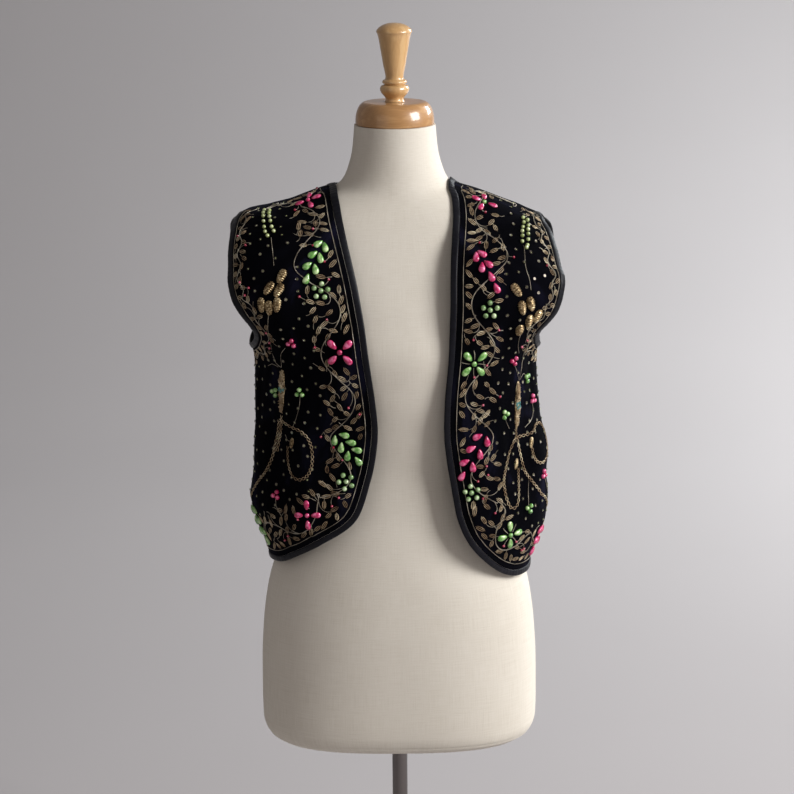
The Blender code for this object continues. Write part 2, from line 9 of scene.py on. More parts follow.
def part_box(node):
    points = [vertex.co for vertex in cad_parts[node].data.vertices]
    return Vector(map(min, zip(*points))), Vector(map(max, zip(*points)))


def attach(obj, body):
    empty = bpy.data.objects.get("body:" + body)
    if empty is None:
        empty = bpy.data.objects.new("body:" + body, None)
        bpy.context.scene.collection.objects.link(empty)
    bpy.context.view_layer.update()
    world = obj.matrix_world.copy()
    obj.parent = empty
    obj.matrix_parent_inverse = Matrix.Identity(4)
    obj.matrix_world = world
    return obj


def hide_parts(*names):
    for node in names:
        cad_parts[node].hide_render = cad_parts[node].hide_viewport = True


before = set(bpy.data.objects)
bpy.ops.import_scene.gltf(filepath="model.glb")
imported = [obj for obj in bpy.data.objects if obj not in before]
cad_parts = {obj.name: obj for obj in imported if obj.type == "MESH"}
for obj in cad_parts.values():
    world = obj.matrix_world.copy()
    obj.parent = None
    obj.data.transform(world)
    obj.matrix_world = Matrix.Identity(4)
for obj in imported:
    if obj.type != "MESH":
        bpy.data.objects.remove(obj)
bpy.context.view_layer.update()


# Foot of the stand: a round steel plate with a boss that grips the pole, turned in one piece.
# Satin nickel with faint turning rings. It stands on the floor and carries everything above.
class Shade:
    """A socket in a material's node tree. Arithmetic adds Math nodes; node() adds any other node."""

    def __init__(self, tree, socket=None):
        self.tree = tree
        self.socket = socket

    def node(self, kind, settings=None, inputs=None, output=0):
        made = self.tree.nodes.new(kind)
        for key, value in (settings or {}).items():
            if key == "stops":
                while len(made.color_ramp.elements) < len(value):
                    made.color_ramp.elements.new(0.5)
                for stop, (at, colour) in zip(made.color_ramp.elements, value):
                    stop.position = at
                    stop.color = (*colour, 1.0)
            else:
                setattr(made, key, value)
        for key, value in (inputs or {}).items():
            if isinstance(value, Shade):
                self.tree.links.new(value.socket, made.inputs[key])
            else:
                made.inputs[key].default_value = value
        return Shade(self.tree, made.outputs[output])

    def math(self, operation, first, second=0.0):
        return self.node("ShaderNodeMath", {"operation": operation}, {0: first, 1: second})

    def __add__(self, other):
        return self.math("ADD", self, other)

    def __mul__(self, other):
        return self.math("MULTIPLY", self, other)

    def __sub__(self, other):
        return self.math("SUBTRACT", self, other)

    def sine(self):
        return self.math("SINE", self)

    def into(self, shader, name):
        self.tree.links.new(self.socket, shader.inputs[name])

    def place(self):
        """Coordinates of the piece itself."""
        return self.node("ShaderNodeTexCoord", output=3)

    def flat(self):
        """Lengths on the piece's flat cut."""
        return self.node("ShaderNodeTexCoord", output=2)

    def parts(self):
        """The first two parts of a vector."""
        first = self.node("ShaderNodeSeparateXYZ", {}, {0: self})
        return first, Shade(self.tree, first.socket.node.outputs[1])

    def stretched(self, *scale):
        return self.node("ShaderNodeMapping", {}, {"Vector": self, "Scale": scale})

    def noise(self, scale, detail, distortion=0.0):
        return self.node("ShaderNodeTexNoise", {}, {"Vector": self, "Scale": scale, "Detail": detail,
                                                    "Distortion": distortion})

    def colours(self, shader, *stops):
        """Base colour looked up in a row of places and colours."""
        self.node("ShaderNodeValToRGB", {"stops": stops}, {0: self}).into(shader, "Base Color")

    def bump(self, shader, strength, distance):
        self.node("ShaderNodeBump", {}, {"Strength": strength, "Distance": distance,
                                         "Height": self}).into(shader, "Normal")


def dye(red, green, blue):
    """Linear colour from screen values of 0 to 255."""
    share = np.array([red, green, blue]) / 255
    return tuple(np.where(share <= 0.04045, share / 12.92, ((share + 0.055) / 1.055) ** 2.4))


def material(name, fixed):
    """A material with its fixed shader values; gives it, its shader and a Shade on its nodes."""
    made = bpy.data.materials.new(name)
    made.use_nodes = True
    shader = made.node_tree.nodes["Principled BSDF"]
    for key, value in fixed.items():
        shader.inputs[key].default_value = (*value, 1.0) if isinstance(value, tuple) else value
    return made, shader, Shade(made.node_tree)


def quads(rows, columns, closed=False):
    """Faces of a grid numbered row by row: a point, its neighbour and the two in the next row."""
    row = np.arange(rows - 1)[:, None] * columns
    here = np.arange(columns if closed else columns - 1)[None]
    after = (here + 1) % columns
    faces = np.stack([row + here, row + after, row + columns + after, row + columns + here], -1)
    return faces.reshape(-1, 4)


def capped(rings):
    """Closed body through rings of equal count: quads between rings, a fan round each end's middle."""
    count, sides = rings.shape[:2]
    points = np.concatenate([rings.reshape(-1, 3), rings[:1].mean(1), rings[-1:].mean(1)])
    here = np.arange(sides)
    after = (here + 1) % sides
    last = (count - 1) * sides
    first_fan = np.stack([np.full(sides, count * sides), after, here], -1)
    last_fan = np.stack([np.full(sides, count * sides + 1), last + here, last + after], -1)
    return points, [quads(count, sides, True), first_fan, last_fan]


def build(name, points, faces, uv=None, turn=None, sharp=38):
    """A piece at the origin from arrays: faces turned outwards, shaded smooth below the sharp angle.
    turn is the full length of a uv that runs round and meets itself."""
    mesh = bpy.data.meshes.new(name)
    mesh.from_pydata(points.tolist(), [], [face for block in faces for face in block.tolist()])
    work = bmesh.new()
    work.from_mesh(mesh)
    bmesh.ops.recalc_face_normals(work, faces=work.faces[:])
    work.to_mesh(mesh)
    work.free()
    mesh.shade_smooth()
    mesh.set_sharp_from_angle(angle=radians(sharp))
    if uv is not None:
        corner = np.empty(len(mesh.loops), np.int32)
        mesh.loops.foreach_get("vertex_index", corner)
        flat = uv[corner]
        if turn:
            start = np.empty(len(mesh.polygons), np.int32)
            mesh.polygons.foreach_get("loop_start", start)
            size = np.diff(np.append(start, len(corner)))
            widest = np.repeat(np.maximum.reduceat(flat[:, 0], start), size)
            flat[:, 0] += turn * (widest - flat[:, 0] > turn / 2)
        mesh.uv_layers.new(name="UVMap").data.foreach_set("uv", flat.ravel())
    piece = bpy.data.objects.new(name, mesh)
    bpy.context.scene.collection.objects.link(piece)
    return piece


def fasten(piece, finish, slot, *nodes):
    """Give a piece its finish and set it on the model's one body, in place of the named solids."""
    piece.data.materials.append(finish)
    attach(piece, "root")
    if nodes:
        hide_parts(*nodes)
    return piece


def turned(profile, steps):
    """Rings of a turned body: each profile row of radius and height becomes a circle."""
    profile = np.asarray(profile, float)
    angle = np.linspace(0, 2 * pi, steps, endpoint=False)
    radius = profile[:, :1]
    return np.stack([radius * np.cos(angle), radius * np.sin(angle), profile[:, 1:] + 0 * angle], -1)


def arc(centre, radius, start, stop, count=7):
    """Profile rows on a circle's arc, angles in degrees from outward."""
    angle = np.radians(np.linspace(start, stop, count))
    return [(centre[0] + radius * np.cos(a), centre[1] + radius * np.sin(a)) for a in angle]


BASE_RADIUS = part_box("base")[1][0]
BOSS_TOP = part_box("base")[1][2]
BASE_THICK = 0.010
BOSS_RADIUS = 0.022
EDGE_ROUND = 0.003
FOOT_BEVEL = 0.0008
BASE_SIDES = 128
AXIS_RADIUS = 0.001        # where the profile of a turned piece starts and stops
base_profile = [(AXIS_RADIUS, BOSS_TOP)]
base_profile += arc((BOSS_RADIUS - EDGE_ROUND, BOSS_TOP - EDGE_ROUND), EDGE_ROUND, 90, 0)
base_profile += arc((BOSS_RADIUS + EDGE_ROUND, BASE_THICK + EDGE_ROUND), EDGE_ROUND, 180, 270)
base_profile += arc((BASE_RADIUS - EDGE_ROUND, BASE_THICK - EDGE_ROUND), EDGE_ROUND, 90, 0)
base_profile += [(BASE_RADIUS, FOOT_BEVEL), (BASE_RADIUS - FOOT_BEVEL, 0.0), (AXIS_RADIUS, 0.0)]
nickel, shader, shade = material("satin_nickel", {"Metallic": 1.0, "Base Color": dye(168, 166, 164)})
place = shade.place()
length = shade.node("ShaderNodeVectorMath", {"operation": "LENGTH"}, {0: place}, output=1)
turning = shade.node("ShaderNodeTexNoise", {"noise_dimensions": "1D"},
                     {"W": length, "Scale": 900.0, "Detail": 3.0})
(turning * 0.22 + 0.24).into(shader, "Roughness")
turning.bump(shader, 0.12, 0.0002)
fasten(build("stand_base", *capped(turned(base_profile, BASE_SIDES))), nickel, "steel", "base")


# Pole: a plain chrome tube from the boss up into the dress form, with its ends eased.
POLE_LOW, POLE_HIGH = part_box("pole")[0][2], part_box("pole")[1][2]
POLE_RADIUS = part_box("pole")[1][0]
POLE_EASE = 0.0008
POLE_END = 0.01            # from an end to the first ring of the plain run
POLE_ROWS = 24
POLE_SIDES = 64
pole_profile = [(AXIS_RADIUS, POLE_HIGH), (POLE_RADIUS - POLE_EASE, POLE_HIGH),
                (POLE_RADIUS, POLE_HIGH - POLE_EASE)]
pole_profile += [(POLE_RADIUS, z) for z in np.linspace(POLE_HIGH - POLE_END, POLE_LOW + POLE_END, POLE_ROWS)]
pole_profile += [(POLE_RADIUS, POLE_LOW + POLE_EASE), (POLE_RADIUS - POLE_EASE, POLE_LOW),
                 (AXIS_RADIUS, POLE_LOW)]
# The chrome's base colour is darkened to stand for the dark room it reflects: a painted reflection.
chrome, shader, shade = material("chrome", {"Metallic": 1.0, "Base Color": dye(120, 114, 112)})
place = shade.place()
smudge = place.noise(38.0, 4.0)
(smudge * 0.16 + 0.02).into(shader, "Roughness")
fasten(build("stand_pole", *capped(turned(pole_profile, POLE_SIDES))), chrome, "chrome", "pole")


# Torso of the dress form: natural linen drawn tight over a smooth limbless body, sewn at the sides and
# turned under along the bottom, where a narrow seam shows. The body is a rounded-square ring at each height.
# height, half width, depth to the front, depth to the back, squareness
FORM_SECTIONS = np.array([
    (0.420, 0.1630, 0.0990, 0.1030, 2.70), (0.428, 0.1740, 0.1075, 0.1115, 2.70),
    (0.445, 0.1805, 0.1130, 0.1170, 2.60), (0.470, 0.1812, 0.1145, 0.1190, 2.55),
    (0.520, 0.1808, 0.1150, 0.1200, 2.45), (0.575, 0.1777, 0.1140, 0.1180, 2.40),
    (0.618, 0.1720, 0.1110, 0.1140, 2.35), (0.650, 0.1640, 0.1080, 0.1080, 2.30),
    (0.700, 0.1460, 0.1010, 0.0960, 2.20), (0.745, 0.1325, 0.0950, 0.0880, 2.15),
    (0.790, 0.1270, 0.0930, 0.0860, 2.10), (0.840, 0.1310, 0.1000, 0.0900, 2.10),
    (0.900, 0.1430, 0.1150, 0.0990, 2.15), (0.950, 0.1540, 0.1230, 0.1040, 2.20),
    (1.000, 0.1650, 0.1140, 0.1070, 2.25), (1.050, 0.1780, 0.0960, 0.1060, 2.30),
    (1.080, 0.1840, 0.0830, 0.1010, 2.30), (1.100, 0.1800, 0.0740, 0.0940, 2.25),
    (1.115, 0.1620, 0.0670, 0.0850, 2.20), (1.127, 0.1350, 0.0610, 0.0760, 2.10),
    (1.138, 0.1070, 0.0560, 0.0690, 2.05), (1.148, 0.0770, 0.0530, 0.0630, 2.00),
    (1.158, 0.0662, 0.0510, 0.0590, 2.00), (1.172, 0.0598, 0.0500, 0.0560, 2.00),
    (1.195, 0.0540, 0.0500, 0.0530, 2.00), (1.226, 0.0510, 0.0510, 0.0510, 2.00)])
FORM_SIDES = 208
HEM_ROWS = (0.4200, 0.4460, 34)      # lowest and highest ring and their count, at the turned-under hem
BODY_ROWS = (0.4490, 1.2260, 210)    # and over the rest of the body
ROUND_RADIUS = 0.155       # mean radius that turns an angle round the form into a length
COVER_SEAM = 0.4290        # height of the seam along the bottom
COVER_SEAM_HALF = 0.0016
COVER_SEAM_DEEP = 0.0006
WEAVE_PITCH = 0.0011
SLOPE_STEP = 1e-4          # small step for surface slopes


def smooth(table):
    """Monotone cubics through every column of a table, as one function of its first column."""
    x, y = table[:, 0], table[:, 1:]
    step = np.diff(x)[:, None]
    rise = np.diff(y, axis=0) / step
    near = 2 * step[1:] + step[:-1]
    far = step[1:] + 2 * step[:-1]
    turning = rise[:-1] * rise[1:] <= 0
    before, behind = np.where(turning, 1.0, rise[:-1]), np.where(turning, 1.0, rise[1:])
    inner = np.where(turning, 0.0, (near + far) / (near / before + far / behind))
    slope = np.concatenate([rise[:1], inner, rise[-1:]])

    def at(value):
        value = np.clip(value, x[0], x[-1])
        i = np.minimum(np.searchsorted(x, value, side="right") - 1, len(x) - 2)
        t = ((value - x[i]) / step[i, 0])[..., None]
        rest = 1 - t
        return ((1 + 2 * t) * rest * rest * y[i] + t * rest * rest * step[i] * slope[i]
                + t * t * (1 + 2 * rest) * y[i + 1] - t * t * rest * step[i] * slope[i + 1])

    return at


def paced(points):
    """Length along a curve up to each of its points."""
    return np.concatenate([[0.0], np.cumsum(np.linalg.norm(np.diff(points, axis=0), axis=1))])


form_at = smooth(FORM_SECTIONS)


def form_point(angle, height):
    """Point of the form: a rounded-square ring at each height, angle 0 at centre front."""
    half, front, back, square = np.moveaxis(form_at(height), -1, 0)
    across, ahead = np.sin(angle), np.cos(angle)
    deep = np.where(ahead > 0, front, back)
    reach = (np.abs(across / half) ** square + np.abs(ahead / deep) ** square) ** (-1 / square)
    return np.stack([reach * across, -reach * ahead, height + 0 * reach], -1)


def form_normal(angle, height):
    """Way out of the form: across the ways round and up."""
    round_way = form_point(angle + SLOPE_STEP, height) - form_point(angle - SLOPE_STEP, height)
    up_way = form_point(angle, height + SLOPE_STEP) - form_point(angle, height - SLOPE_STEP)
    normal = np.cross(round_way, up_way)
    return normal / np.linalg.norm(normal, axis=-1, keepdims=True)


heights = np.concatenate([np.linspace(*HEM_ROWS), np.linspace(*BODY_ROWS)])
angles = np.linspace(pi, 3 * pi, FORM_SIDES, endpoint=False)
grid_angle, grid_height = np.meshgrid(angles, heights)
torso = form_point(grid_angle, grid_height)
groove = np.exp(-((grid_height - COVER_SEAM) / COVER_SEAM_HALF) ** 2)
torso = torso - form_normal(grid_angle, grid_height) * (COVER_SEAM_DEEP * groove)[..., None]
run_up = paced(torso[:, FORM_SIDES // 2])
torso_uv = np.stack([(grid_angle - pi) * ROUND_RADIUS, run_up[:, None] + 0 * grid_angle], -1).reshape(-1, 2)
torso_uv = np.concatenate([torso_uv, torso_uv[:1], torso_uv[-1:]])

linen, shader, shade = material("linen_cover", {"Roughness": 0.92, "Specular IOR Level": 0.2,
                                                "Sheen Weight": 0.06, "Sheen Roughness": 0.5})
flat = shade.flat()
across, down = flat.parts()
warp = (across * (2 * pi / WEAVE_PITCH)).sine()
weft = (down * (2 * pi / WEAVE_PITCH)).sine()
slub_round = flat.stretched(30.0, 900.0, 1.0)
slub_up = flat.stretched(900.0, 30.0, 1.0)
slubs = slub_round.noise(1.0, 2.0) + slub_up.noise(1.0, 2.0)
weave = warp * weft * 0.5 + slubs * 1.2
cast = flat.noise(7.0, 3.0)
tone = slubs * 0.35 + weave * 0.10 + cast * 0.35 - 0.12
tone.colours(shader, (0.0, dye(196, 186, 168)), (0.5, dye(221, 213, 199)), (1.0, dye(234, 228, 217)))
weave.bump(shader, 0.35, 0.00025)
points, faces = capped(torso)
fasten(build("linen_torso", points, faces, torso_uv, turn=2 * pi * ROUND_RADIUS), linen, "linen", "torso")


# Neck cap and finial: two turned pieces of honey-coloured hardwood under clear lacquer, one on the other
# and both on the form's neck. The grain lies across the cap and runs up the finial.
CAP_LOW, CAP_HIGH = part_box("neck_cap")[0][2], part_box("neck_cap")[1][2]
CAP_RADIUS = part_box("neck_cap")[1][0]
CAP_FLAT = 0.0368
CAP_LIP = 0.0040
CAP_EASE = (0.0010, 0.0012)          # across and up at the lower edge
CAP_ROWS = 18
CAP_SIDES, FINIAL_SIDES = 112, 80
FINIAL_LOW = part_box("finial")[0][2]
# height above the foot, radius
FINIAL_PROFILE = [(0.0978, 0.0010), (0.0968, 0.0090), (0.0935, 0.0170), (0.0892, 0.0216), (0.0868, 0.0224),
                  (0.0846, 0.0214), (0.0800, 0.0200), (0.0640, 0.0172), (0.0460, 0.0142), (0.0285, 0.0116),
                  (0.0262, 0.0148), (0.0244, 0.0155), (0.0228, 0.0148), (0.0216, 0.0126), (0.0196, 0.0168),
                  (0.0156, 0.0183), (0.0112, 0.0170), (0.0058, 0.0124), (0.0030, 0.0114), (0.0, 0.0126)]


def flow(knots, closed=False, fill=24):
    """Smooth curve through points: centripetal cubic pieces, each with fill steps."""
    knots = np.asarray(knots, float)
    if closed:
        knots = np.concatenate([knots[-1:], knots, knots[:2]])
    else:
        knots = np.concatenate([2 * knots[:1] - knots[1:2], knots, 2 * knots[-1:] - knots[-2:-1]])
    gap = np.sqrt(np.linalg.norm(np.diff(knots, axis=0), axis=1))[:, None]
    a, b, c, d = knots[:-3], knots[1:-2], knots[2:-1], knots[3:]
    g0, g1, g2 = gap[:-2], gap[1:-1], gap[2:]
    leave = g1 * ((b - a) / g0 - (c - a) / (g0 + g1) + (c - b) / g1)
    arrive = g1 * ((c - b) / g1 - (d - b) / (g1 + g2) + (d - c) / g2)
    t = np.linspace(0, 1, fill, endpoint=False)[None, :, None]
    b, c, leave, arrive = (x[:, None] for x in (b, c, leave, arrive))
    dense = ((1 + 2 * t) * (1 - t) ** 2 * b + t * (1 - t) ** 2 * leave
             + t * t * (3 - 2 * t) * c + t * t * (t - 1) * arrive)
    return np.concatenate([dense.reshape(-1, knots.shape[1]), knots[-2:-1]])


def lacquered(name, grain_scale, tones):
    """Hardwood: long noise stretched along the grain, fine pores, under a clear glossy coat."""
    made, shader, shade = material(name, {"Roughness": 0.38, "Coat Weight": 0.75, "Coat Roughness": 0.07})
    place = shade.place()
    along = place.stretched(*grain_scale)
    figure = along.noise(1.0, 5.0, 0.6)
    pore = along.noise(6.0, 3.0)
    bands = ((figure * 22.0).sine() * 0.06 + figure * 0.6 + pore * 0.22) + 0.06
    bands.colours(shader, *zip((0.15, 0.5, 0.85), tones))
    pore.bump(shader, 0.08, 0.0003)
    return made


turns = np.radians(np.linspace(2, 90, CAP_ROWS))
cap_profile = [(AXIS_RADIUS, CAP_HIGH), (CAP_FLAT * 0.6, CAP_HIGH), (CAP_FLAT, CAP_HIGH)]
cap_profile += [(CAP_FLAT + (CAP_RADIUS - CAP_FLAT) * np.sin(t),
                 CAP_LOW + CAP_LIP + (CAP_HIGH - CAP_LOW - CAP_LIP) * np.cos(t)) for t in turns]
cap_profile += [(CAP_RADIUS, CAP_LOW + CAP_EASE[1]), (CAP_RADIUS - CAP_EASE[0], CAP_LOW),
                (AXIS_RADIUS, CAP_LOW)]
cap_wood = lacquered("cap_lacquer", (9.0, 120.0, 120.0),
                     [dye(150, 104, 60), dye(182, 136, 86), dye(198, 156, 106)])
fasten(build("wood_neck_cap", *capped(turned(cap_profile, CAP_SIDES))), cap_wood, "wood", "neck_cap")
finial_profile = flow([(r, FINIAL_LOW + h) for h, r in FINIAL_PROFILE], fill=8)
finial_profile = np.concatenate([finial_profile, [(AXIS_RADIUS, FINIAL_LOW)]])
finial_wood = lacquered("finial_lacquer", (110.0, 110.0, 9.0),
                        [dye(172, 124, 72), dye(206, 164, 110), dye(222, 186, 134)])
fasten(build("wood_finial", *capped(turned(finial_profile, FINIAL_SIDES)), sharp=50), finial_wood, "wood",
       "finial")


# Vest cloth: black cotton velvet, two fronts and a back, sewn at the shoulders and sides. The cloth stands
# off the form by an ease that is wide at the sides and the shoulder tips, with long soft folds at the waist
# and smaller creases. Lengths round the form and up the cloth make its flat cut.
WALL = 0.0018              # velvet with its backing
SEAM_GAP = 0.0003
BINDING_WIDTH = 0.0078
EDGE_INSET = BINDING_WIDTH + SEAM_GAP
CUT_FOOT, CUT_TOP = 0.600, 1.180
CUT_MERIDIAN = 0.9
SEAM = pi / 2 * ROUND_RADIUS
HALF_TURN = pi * ROUND_RADIUS
FRONT_SPREAD, BACK_SPREAD = 3.0, 6.0
SIDES = {"right": -1, "left": 1}
# height of the form, then the space under the cloth in millimetres: front, right side, left side, back
EASE_SECTIONS = np.array([
    (0.630, 9.0, 3.0, 3.0, 4.0), (0.655, 12.0, 5.0, 10.0, 6.0), (0.680, 14.0, 21.0, 33.0, 10.0),
    (0.705, 16.0, 42.0, 51.0, 13.0), (0.735, 18.0, 58.0, 62.0, 16.0), (0.800, 20.0, 56.0, 63.0, 17.0),
    (0.870, 15.0, 46.0, 46.0, 14.0), (0.915, 9.0, 36.0, 33.0, 9.0), (0.945, 6.5, 30.0, 27.0, 7.0),
    (0.970, 6.0, 41.0, 39.0, 6.0), (0.992, 6.0, 62.0, 62.0, 6.0), (1.015, 6.0, 72.0, 72.0, 5.0),
    (1.040, 5.0, 68.0, 68.0, 5.0), (1.065, 4.0, 54.0, 48.0, 4.0), (1.085, 3.5, 38.0, 26.0, 3.5),
    (1.100, 3.0, 23.0, 10.0, 3.0), (1.115, 2.8, 8.0, 3.4, 3.4), (1.130, 2.3, 2.6, 2.4, 3.0),
    (1.175, 2.3, 2.3, 2.3, 2.8)])
# degrees round from centre front, half width in degrees, middle height, half length, rise in millimetres,
# lean
FOLDS = [
    (-80, 7, 0.800, 0.085, 5.0, 0), (-66, 6, 0.840, 0.090, -5.0, 0), (-53, 7, 0.780, 0.075, 4.0, 0),
    (80, 7, 0.820, 0.090, 5.0, 0), (68, 6, 0.790, 0.085, -5.0, 0), (54, 7, 0.830, 0.080, 4.0, 0),
    (118, 8, 0.800, 0.095, -5.0, 0), (138, 8, 0.790, 0.090, 5.0, 0), (160, 9, 0.800, 0.100, -4.0, 0),
    (183, 9, 0.780, 0.090, 5.0, 0), (205, 8, 0.800, 0.100, -4.0, 0), (226, 8, 0.800, 0.090, 5.0, 0),
    (243, 8, 0.790, 0.095, -5.0, 0)]
# the smaller creases, in the same columns; lean is degrees round for each metre up
CREASES = [
    (-76, 2.6, 0.900, 0.050, -2.2, 60), (-71, 2.2, 0.770, 0.060, 1.8, -40),
    (-60, 2.4, 0.905, 0.040, -1.6, 90), (-84, 2.4, 0.745, 0.045, -1.8, 30),
    (-47, 2.6, 0.850, 0.055, -1.4, 50), (-38, 3.0, 0.775, 0.045, 1.5, -60),
    (-63, 2.6, 1.055, 0.030, -1.6, 150), (-58, 3.2, 0.985, 0.034, 1.4, 120),
    (-30, 3.0, 0.910, 0.050, 1.2, 30), (75, 2.6, 0.905, 0.050, -2.2, -70),
    (84, 2.2, 0.800, 0.060, 1.8, 30), (61, 2.4, 0.850, 0.050, -1.6, -50),
    (86, 2.4, 0.740, 0.040, -1.8, -40), (50, 2.6, 0.900, 0.050, -1.3, -60),
    (46, 3.0, 0.760, 0.050, 1.5, 40), (64, 2.6, 1.050, 0.030, -1.6, -150),
    (60, 3.0, 0.975, 0.036, 1.4, -110), (38, 3.0, 0.880, 0.050, 1.2, -30),
    (104, 3.0, 0.860, 0.060, 2.0, 60), (112, 2.6, 0.745, 0.045, -1.8, -40),
    (126, 3.0, 0.880, 0.050, -1.8, 70), (149, 3.2, 0.850, 0.060, 1.8, 30),
    (171, 3.4, 0.870, 0.050, -1.6, -20), (194, 3.2, 0.745, 0.050, 1.6, 40),
    (215, 3.0, 0.870, 0.055, 1.8, -60), (234, 2.8, 0.750, 0.045, -1.8, 30),
    (252, 3.0, 0.865, 0.055, 2.0, -60), (262, 2.4, 0.770, 0.045, -1.8, 30),
    (98, 2.4, 0.770, 0.045, -1.6, -30), (157, 4.0, 1.020, 0.040, 1.2, -120),
    (203, 4.0, 1.015, 0.040, 1.2, 120), (132, 3.6, 0.985, 0.040, -1.2, -150),
    (228, 3.6, 0.985, 0.040, -1.2, 150)]
# finished edge of each front from the neck point down, round the corner and along the hem: degrees, height
FRONT_EDGE = {
    "right": [(90, 1.1500), (76, 1.1480), (57, 1.1360), (35, 1.0785), (20.2, 1.0046), (12.9, 0.9025),
              (12.4, 0.8550), (18.1, 0.7960), (28.0, 0.7370), (46.0, 0.7016), (58.0, 0.6810),
              (68.0, 0.6680), (90, 0.6600)],
    "left": [(90, 1.1570), (75, 1.1545), (59.4, 1.1405), (40.7, 1.0821), (30.9, 1.0087), (27.3, 0.9013),
             (29.0, 0.8500), (33.5, 0.7980), (40.2, 0.7136), (52.1, 0.6712), (64.5, 0.6506),
             (77.0, 0.6460), (90, 0.6480)]}
HEM_CORNER = {"right": (30.0, 0.7320), "left": (44.0, 0.6960)}
# finished armhole from the armpit up the front to the shoulder tip and down the back
ARMHOLE = {
    "right": [(90, 0.9570), (75, 0.9650), (66.6, 0.9840), (67.5, 1.0040), (71.0, 1.0250), (74.2, 1.0480),
              (77.6, 1.0700), (82.0, 1.0880), (90, 1.0990), (99, 1.0850), (107, 1.0500), (111, 1.0100),
              (106, 0.9740)],
    "left": [(90, 0.9540), (75, 0.9640), (67.8, 0.9830), (68.6, 0.9970), (71.4, 1.0220), (73.9, 1.0430),
             (77.0, 1.0670), (81.0, 1.0860), (90, 1.1040), (99, 1.0880), (107, 1.0500), (111, 1.0100),
             (106, 0.9740)]}
# finished edges of the back, from the left side round to the right side
BACK_NECK = [(90, 1.1570), (112, 1.1475), (140, 1.1410), (180, 1.1380), (220, 1.1395), (248, 1.1440),
             (270, 1.1500)]
BACK_HEM = [(90, 0.6480), (135, 0.6490), (180, 0.6520), (225, 0.6560), (270, 0.6600)]


ease_at = smooth(EASE_SECTIONS)
RIDGES = np.array(FOLDS + CREASES)


def ease(angle, height):
    """Space under the cloth: side values fade to front and back values; each fold and crease adds a soft
    ridge or trough that fades along its length and leans as it rises."""
    front, right, left, back = np.moveaxis(ease_at(height), -1, 0) / 1000
    across, ahead = np.sin(angle), np.cos(angle)
    side = np.where(across < 0, right, left)
    end = np.where(ahead > 0, front, back)
    share = np.abs(across) ** np.where(ahead > 0, FRONT_SPREAD, BACK_SPREAD)
    at, half_width, middle, half_length, rise, lean = RIDGES.T
    above = height[..., None] - middle
    off = (np.degrees(angle)[..., None] - at - lean * above + 180) % 360 - 180
    ridges = (rise * np.exp(-(off / half_width) ** 2 - (above / half_length) ** 2)).sum(-1) / 1000
    return end * (1 - share) + side * share + ridges


HEIGHTS = np.linspace(CUT_FOOT, CUT_TOP, 400)
meridian = form_point(np.full_like(HEIGHTS, CUT_MERIDIAN), HEIGHTS)
LENGTHS = paced(meridian)


def to_cut(rows):
    """Rows of degrees and height become flat cut lengths: round the form, up the cloth."""
    rows = np.asarray(rows, float)
    return np.stack([np.radians(rows[..., 0]) * ROUND_RADIUS, np.interp(rows[..., 1], HEIGHTS, LENGTHS)], -1)


def cloth(cut, side):
    """Point of the cloth's middle: the form moved out by the ease; side -1 mirrors the angle."""
    cut = np.asarray(cut, float)
    angle = side * cut[..., 0] / ROUND_RADIUS
    height = np.interp(cut[..., 1], LENGTHS, HEIGHTS)
    return form_point(angle, height) + form_normal(angle, height) * ease(angle, height)[..., None]


def stance(cut, side):
    """On the cloth's middle at flat cut places: point, unit ways round, up and out, and true length
    of one unit of cut each way."""
    cut = np.asarray(cut, float)
    step_u, step_v = np.array([SLOPE_STEP, 0]), np.array([0, SLOPE_STEP])
    way_u = (cloth(cut + step_u, side) - cloth(cut - step_u, side)) / (2 * SLOPE_STEP)
    way_v = (cloth(cut + step_v, side) - cloth(cut - step_v, side)) / (2 * SLOPE_STEP)
    long_u = np.linalg.norm(way_u, axis=-1, keepdims=True)
    long_v = np.linalg.norm(way_v, axis=-1, keepdims=True)
    out = side * np.cross(way_u, way_v)
    out = out / np.linalg.norm(out, axis=-1, keepdims=True)
    round_way = way_u / long_u
    up_way = side * np.cross(out, round_way)
    return cloth(cut, side), round_way, up_way, out, np.concatenate([long_u, long_v], -1)


def even(points, count, closed=False):
    """A curve's points spaced evenly along it."""
    run = paced(points)
    at = np.linspace(0, run[-1], count, endpoint=not closed)
    return np.stack([np.interp(at, run, points[:, k]) for k in range(points.shape[1])], -1)


def shifted(points, distance, side, closed=False):
    """Curve moved to its left on the cloth by a true distance, one for all or one for each point."""
    scale = stance(points, side)[4]
    if closed:
        along = np.roll(points, -1, 0) - np.roll(points, 1, 0)
    else:
        along = np.gradient(points, axis=0)
    along = along * scale
    along = along / np.linalg.norm(along, axis=1, keepdims=True)
    distance = np.reshape(distance, (-1, 1))
    return points + distance * np.stack([-along[:, 1], along[:, 0]], -1) / scale


def within(points, low, high):
    """The run of a curve whose round length lies between two values, its ends set exactly on them."""
    kept = points[(points[:, 0] > low) & (points[:, 0] < high)]
    first, last = kept[0].copy(), kept[-1].copy()
    first[0] = low if abs(first[0] - low) < abs(first[0] - high) else high
    last[0] = low if abs(last[0] - low) < abs(last[0] - high) else high
    return np.concatenate([first[None], kept, last[None]])


def coons(left, right, low, high):
    """Flat patch between four edges: edge blends across and up, less the blend of the four corners."""
    s = np.linspace(0, 1, len(low))[None, :, None]
    t = np.linspace(0, 1, len(left))[:, None, None]
    corners = ((1 - s) * (1 - t) * low[0] + s * (1 - t) * low[-1] + (1 - s) * t * high[0] + s * t * high[-1])
    return (1 - s) * left[:, None] + s * right[:, None] + (1 - t) * low[None] + t * high[None] - corners


